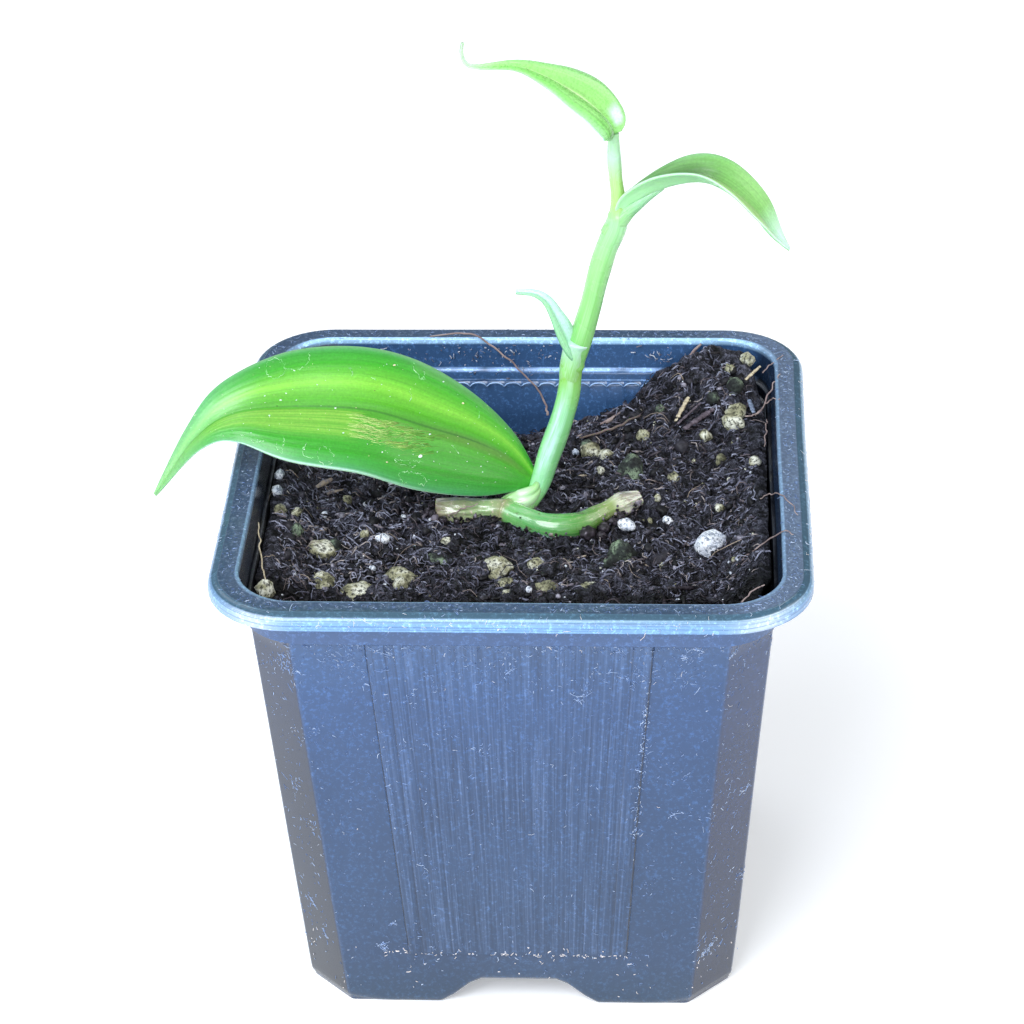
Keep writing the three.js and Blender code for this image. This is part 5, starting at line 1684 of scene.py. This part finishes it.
# Crumbs that lap the lower front of the stem
LAPPING = 420
x, y, z = follow(OLD_STEM_LINE, random.uniform(0, 1, LAPPING))[0].T
reach = 1.9 * np.exp(random.normal(0, 0.08, LAPPING))
turn = np.radians(random.normal(-152, 18, LAPPING))
x = x + random.normal(0, 0.3, LAPPING)
centres = np.column_stack([x, y + reach * np.cos(turn), z + reach * np.sin(turn)])
sizes = 0.24 * np.exp(random.normal(0, 0.4, (LAPPING, 1))) * random.uniform(0.7, 1.3, (LAPPING, 3))
make_lumps("lapping_crumbs", centres, sizes, random, splinter_skin, 0.35, 0.6, COARSE_BALL)

# Fibres
# The mat of torn moss, root and coir threads that the peat is made of, half a millimetre to five long.


def fibres_on_soil(name, count, length, radius, lift, seed, material, steps, crook):
    """A mat of short crooked threads on the soil, paler the higher they stand, as painted shade."""
    random = np.random.default_rng(seed)
    x, y = places_on_soil(random, count, 0.1)
    count = len(x)
    size = length * np.exp(random.normal(0, 0.4, count))
    start = random.uniform(0, 2 * math.pi, (count, 1))
    heading = start + np.cumsum(random.normal(0, crook, (count, steps)), 1)
    stride = size[:, None] / (steps - 1)
    px = x[:, None] + np.cumsum(stride * np.cos(heading), 1)
    py = y[:, None] + np.cumsum(stride * np.sin(heading), 1)
    limit = soil_edge(px.ravel(), py.ravel()).reshape(px.shape) - 0.2
    px, py = np.clip(px, -limit, limit), np.clip(py, -limit, limit)
    ground = soil_height(px.ravel(), py.ravel()).reshape(px.shape)
    settled = 0.6 * ground + 0.4 * ground.max(axis=1, keepdims=True)
    raised = lift * random.uniform(-0.6, 1.2, (count, 1))
    bow = np.sin(math.pi * np.linspace(0, 1, steps))
    arched = np.abs(random.normal(0, 0.2, (count, 1))) * size[:, None] * bow
    smooth = soil_level(x, y) + soil_banks(x, y)
    tones = 0.5 + 0.25 * (settled[:, 0] - smooth) + 0.15 * raised[:, 0] / lift
    tones = tones + random.normal(0, 0.2, count)
    # Lighter on the left, and darker along the front wall, as painted shadow of that wall
    tones += 0.2 * np.clip((-x - 10) / 12, 0, 1) - 0.6 * np.clip((-21 - y) / 5, 0, 1)
    width = radius * np.exp(random.normal(0, 0.3, count))
    places = np.stack([px, py, settled + raised + arched], -1)
    return make_strands(name, places, width, np.clip(tones, 0, 1), material, 0.6)


# Moss and coir threads go from black where damp to grey-violet where dry, root threads to brown and
# straw; their tone also holds painted shade.
DARK_TONES = [(0.1, "#060608"), (0.36, "#25242c"), (0.56, "#4e4d5b"), (0.76, "#6f7082"), (1, "#9fa1b4")]
dark_fibre = toned("dark_moss_fibre", DARK_TONES, 0.5)
BROWN_TONES = [(0.1, "#060506"), (0.42, "#1c181b"), (0.66, "#433c42"), (0.86, "#766c70"), (1, "#b0a6a2")]
brown_fibre = toned("brown_root_fibre", BROWN_TONES, 0.5)
pale_fibre = toned("pale_root_fibre", [(0, "#3c353a"), (0.5, "#6d6268"), (1, "#ab9a88")], 0.5)
fibres_on_soil("dark_fibres", 7900, 1.15, 0.115, 0.2, 31, dark_fibre, 4, 1.0)
fibres_on_soil("brown_fibres", 3500, 1.1, 0.1, 0.24, 33, brown_fibre, 4, 1.0)
fibres_on_soil("pale_fibres", 200, 2.6, 0.065, 0.5, 32, pale_fibre, 5, 0.5)

# Grit
# Pumice and perlite that were mixed into the peat. The larger stones sit in sockets of the soil, and lumps
# of old peat have grown a film of moss.


def rough_stone(name, colours, pit, roughness):
    """Porous volcanic stone: pale dull faces, with pores and cracks that hold dark dust."""
    material, tree, shader = new_material(name)
    place = add(tree, "TexCoord", out="Object")
    cloud = add(tree, "TexNoise", {"Vector": place, "Scale": 0.42 / MM, "Detail": 4, "Roughness": 0.6})
    colour = add(tree, "ValToRGB", {"Fac": cloud}, stops=colours)
    pores = add(tree, "TexNoise", {"Vector": place, "Scale": 2.1 / MM, "Detail": 3, "Roughness": 0.7})
    hollow = add(tree, "ValToRGB", {"Fac": pores}, stops=[(0.39, 0.9), (0.52, 0)])
    colour = add(tree, "Mix", {"Factor": hollow, 6: colour, 7: pit}, 2, data_type="RGBA")
    tree.links.new(colour, shader.inputs["Base Color"])
    shader.inputs["Roughness"].default_value = roughness
    bump = add(tree, "Bump", {"Height": pores, "Strength": 0.9, "Distance": 0.25 * MM})
    tree.links.new(bump, shader.inputs["Normal"])
    return material


# Tan pumice, bluish white perlite, and black peat under a grey-green film of moss
TAN = [(0.34, "#5a5942"), (0.48, "#9f9d7e"), (0.62, "#dedece")]
WHITE = [(0.3, "#a9b3c6"), (0.5, "#e9edf5"), (0.7, "#ffffff")]
MOSSY = [(0.36, "#101214"), (0.5, "#343c36"), (0.64, "#84967c")]
pumice = rough_stone("pumice_stone", TAN, "#24231c", 0.9)
perlite = rough_stone("expanded_perlite", WHITE, "#5e6a7c", 0.8)
mossy_lump = rough_stone("mossy_peat", MOSSY, "#070709", 0.9)
STONE_KINDS = {"pumice": (pumice, 0.16), "perlite": (perlite, 0.14), "peat_lump": (mossy_lump, 0.3)}


def make_stone(node, kind, seed):
    """A stone with the edges of its plain solid worn round and its faces broken up."""
    material, ruggedness = STONE_KINDS[kind]
    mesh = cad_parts[node].data.copy()
    mesh.materials.clear()
    mesh.materials.append(material)
    stone = bpy.data.objects.new(node + "_stone", mesh)
    bpy.context.scene.collection.objects.link(stone)
    stone.modifiers.new("weld", "WELD").merge_threshold = 0.001 * MM
    finer = stone.modifiers.new("finer", "SUBSURF")
    finer.subdivision_type = "SIMPLE"
    low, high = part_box(node)
    finer.levels = 3 if high[0] - low[0] > 3.2 * MM else 2
    worn = stone.modifiers.new("worn", "SMOOTH")
    worn.factor = 0.5
    worn.iterations = 4
    apply_modifiers(stone)
    mesh = stone.data
    points = np.empty(3 * len(mesh.vertices))
    mesh.vertices.foreach_get("co", points)
    points = points.reshape(-1, 3) / MM
    outward = np.empty(3 * len(mesh.vertices))
    mesh.vertex_normals.foreach_get("vector", outward)
    outward = outward.reshape(-1, 3)
    bumps = rough(points, 1.6, 3, seed) - 1.4 * np.clip(lattice(points, 0.7, seed + 5) - 0.25, 0, 1)
    points += outward * (0.12 + ruggedness * bumps)[:, None]
    mesh.vertices.foreach_set("co", (points * MM).ravel())
    mesh.shade_smooth()
    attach(stone, "root")
    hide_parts(node)
    return stone


for seed, node in enumerate(sorted(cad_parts)):
    for kind in STONE_KINDS:
        if node.startswith(kind):
            make_stone(node, kind, seed)

# Small grit
# Crumbs of pumice and perlite that lie on the soil, too small for solids of their own, and tufts of moss.
# Each has its piece's name and kind, how many more are strewn at random, and places with radii.
SMALL_GRIT = (
    ("pumice_grit", "pumice", 160, (
        (33.9, 24, 1.9), (33.1, 31.5, 1), (36, 33.4, 1.2), (29.2, 20.4, 1), (19, 22.1, 1.2),
        (12.9, 19.1, 1.1), (12.3, 12.7, 0.8), (24.1, 10.4, 1.2), (31.6, 14, 1), (37, 9.5, 1.1),
        (21.6, 3.4, 0.8), (20.4, 0.2, 0.6), (-36.8, -29.5, 1.4), (-27.7, 4.6, 0.8), (-23.9, -6.5, 0.8),
        (-37, -5.8, 1), (-34.5, -5.1, 0.8), (-11.1, -8.1, 0.7), (31.4, 1.1, 0.8), (27.2, 15.6, 0.5),
        (33, 8.4, 0.5), (22.5, -13.8, 0.6), (33.6, -16.1, 0.6), (-23.7, -21.9, 1.3), (-17.4, -20.3, 1.3),
        (-29, -20.9, 1.2), (-3, -16, 1.3), (-0.9, -21.8, 0.9),
    )),
    ("perlite_grit", "perlite", 160, (
        (16.8, -3.1, 0.95), (23.3, -1.2, 0.9), (-37.9, 2.7, 0.8), (-37.9, -0.7, 0.9), (-30.9, 0.3, 0.8),
        (-21, 10.5, 0.7), (-18.3, -0.3, 0.5), (-20.9, -9.1, 1.1), (-24.6, 4.1, 0.6), (-22, -16.1, 0.5),
        (-13.9, -1.9, 0.5), (8.2, 20.2, 0.7),
    )),
    ("moss_tufts", "peat_lump", 0, (
        (-34.2, -10, 1.2), (17.4, 11.9, 2), (16.3, -12.2, 2), (14.8, -14.3, 1.4), (30.4, 26.7, 1.4),
        (10.1, 21.7, 1.3), (33.8, 28.4, 1.4), (33.1, 29.6, 1), (21.7, 27.2, 1), (-28.2, -9.9, 1.2),
        (17.2, -11, 1.2),
    )),
)
for number, (name, kind, strewn, lumps) in enumerate(SMALL_GRIT):
    random = np.random.default_rng(60 + number)
    x, y, radius = np.array(lumps).T
    more_x, more_y = places_on_soil(random, strewn, 0.2)
    x, y = np.concatenate([x, more_x]), np.concatenate([y, more_y])
    radius = np.concatenate([radius, 0.16 * np.exp(random.normal(0, 0.5, len(more_x)))])
    sizes = radius[:, None] * random.uniform(0.7, 1.15, (len(x), 3))
    centres = np.column_stack([x, y, soil_height(x, y) + 0.35 * sizes[:, 2]])
    make_lumps(name, centres, sizes, random, STONE_KINDS[kind][0], 0.22, 0.5)

# Litter
# A dead twig that leans on the heap, a chip of pale wood, and long dry roots that hang over the back wall
# and curl at the right rim.
# Dead bark is grey-brown, dry roots are papery and paler, and split wood is cream.
TWIG_COLOURS = [(0, "#5a4a46"), (0.5, "#766460"), (1, "#4b3e3c")]
twig_skin = stalk_tissue("dead_twig", TWIG_COLOURS, "#8d7c74", 0.7, 0)
root_skin = toned("dry_root", [(0, "#6e5e5e"), (0.5, "#94827f"), (1, "#b4a49c")], 0.7)
bark_skin = toned("bark_chip", [(0, "#2a242a"), (0.5, "#5a5058"), (1, "#8a7f8a")], 0.7, 0.6, 0.3)
slate_skin = toned("slate_chip", [(0, "#46505f"), (0.5, "#78849c"), (1, "#a3afc4")], 0.7, 0.6, 0.3)
chip_skin = toned("split_wood", [(0, "#8f816c"), (0.5, "#c4b699"), (1, "#e6dcc4")], 0.7, 0.6, 0.2)
LITTER = (  # places along each with its radius there
    ("twig", root_skin, (
        (28.4, 39.6, 79.6, 0.2), (25.8, 38.8, 77, 0.28), (23.4, 37.6, 74.8, 0.32), (18.5, 34.5, 71.6, 0.35),
        (13.7, 30.5, 70.4, 0.36), (8.4, 25.3, 69.9, 0.3),
    )),
    ("wood_chip", chip_skin, ((26.3, 28.6, 75.6, 0.5), (25.4, 26.6, 74.5, 0.55), (24.3, 24.4, 73.6, 0.42))),
    ("low_twig", twig_skin, ((8.8, 22.9, 71.2, 0.14), (13.4, 25.4, 71.3, 0.2), (18.6, 27.5, 72.9, 0.16))),
    ("bark_chip", bark_skin, ((25.7, 21.3, 73.9, 0.6), (27.9, 23.3, 74.4, 0.85), (30.4, 25.2, 75.4, 0.7))),
    ("bark_splinter", bark_skin, (
        (24.6, 23.2, 73.7, 0.4), (26.6, 24.9, 74.6, 0.5), (28.3, 26.6, 75.7, 0.35),
    )),
    ("slate_chip", slate_skin, ((36.2, 26.6, 76.3, 0.4), (36.6, 24.6, 76.2, 0.5), (36.9, 23.2, 75.9, 0.42))),
    ("pale_chip", chip_skin, ((35.6, 29.6, 78.4, 0.45), (37, 30.8, 79.2, 0.6), (38, 31.6, 79.8, 0.4))),
    ("rim_root", root_skin, (
        (35.5, 22, 75.9, 0.12), (37.9, 23, 76.2, 0.13), (40, 26.4, 79.2, 0.12), (41.2, 28, 80.4, 0.08),
    )),
    ("front_root", root_skin, ((33.4, -38.6, 77, 0.1), (35.4, -37.2, 79.6, 0.12), (37.7, -36, 80.4, 0.08))),
    ("left_root", chip_skin, (
        (-39.3, -14.6, 77.6, 0.08), (-38.6, -19.5, 76.4, 0.12), (-37.6, -25, 75.4, 0.12),
        (-37, -27.4, 75.2, 0.1),
    )),
    ("right_root_1", root_skin, (
        (37.6, -2.4, 75, 0.1), (39.2, -5.2, 77.6, 0.1), (41, -10.5, 80.3, 0.09), (43, -16, 80.3, 0.06),
    )),
    ("right_root_2", root_skin, (
        (33.8, -18.1, 72.6, 0.1), (37.4, -17.3, 75.6, 0.11), (40.6, -20.6, 80.2, 0.1),
        (42.2, -21.8, 80.4, 0.06),
    )),
    ("right_root_3", root_skin, ((39, 22.2, 75.2, 0.08), (38.9, 18, 75.9, 0.11), (38.5, 13.5, 75.2, 0.08))),
    ("right_root_4", root_skin, ((37.2, 23.2, 75.3, 0.08), (39.2, 22.6, 78.4, 0.1), (41, 20, 80.3, 0.07))),
    ("right_root_5", root_skin, ((38.4, 31.6, 78.6, 0.1), (39.8, 32.8, 79.6, 0.1), (41.8, 34.6, 80.3, 0.06))),
    ("stem_fibre", root_skin, (
        (-11.2, -2.2, 71.4, 0.08), (-8.8, -1.9, 72.5, 0.11), (-6.4, -1.3, 73.3, 0.07),
    )),
    ("back_root", root_skin, (
        (-16.5, 40.6, 80.3, 0.12), (-9.8, 40, 81.1, 0.16), (-4.8, 39, 78.2, 0.16), (-1.6, 38.3, 75.1, 0.14),
        (0.9, 37.8, 72.5, 0.15), (2.5, 37.4, 69.9, 0.16), (3, 36.3, 67.8, 0.2),
    )),
)


def split_off(radius, t, turn):
    """A flat chip with square broken ends and torn sides."""
    flat = 1 - 0.65 * np.abs(np.sin(turn + 0.4))
    torn = 1 + 0.16 * np.sin(19 * t + 2 * turn) + 0.12 * np.sin(47 * t + 3 * turn)
    return radius * flat * torn


random = np.random.default_rng(71)
for name, skin, line in LITTER:
    line = np.array(line)
    radii = line[:, 3]
    chip = radii.min() > 0.3
    course = follow(line[:, :3], np.linspace(0, 1, 2 if chip else 4 * len(line)))[0]
    course[1:-1] += random.normal(0, 0.1, course[1:-1].shape)
    shape = split_off if chip else None
    piece = make_tube(name, course, radii, skin, steps=56, sides=10, shape=shape)
    mottle = rough(np.linspace(0, 90, len(piece.data.vertices))[:, None], 3, 2)
    tag(piece, np.clip(0.5 + 0.25 * mottle, 0, 1))
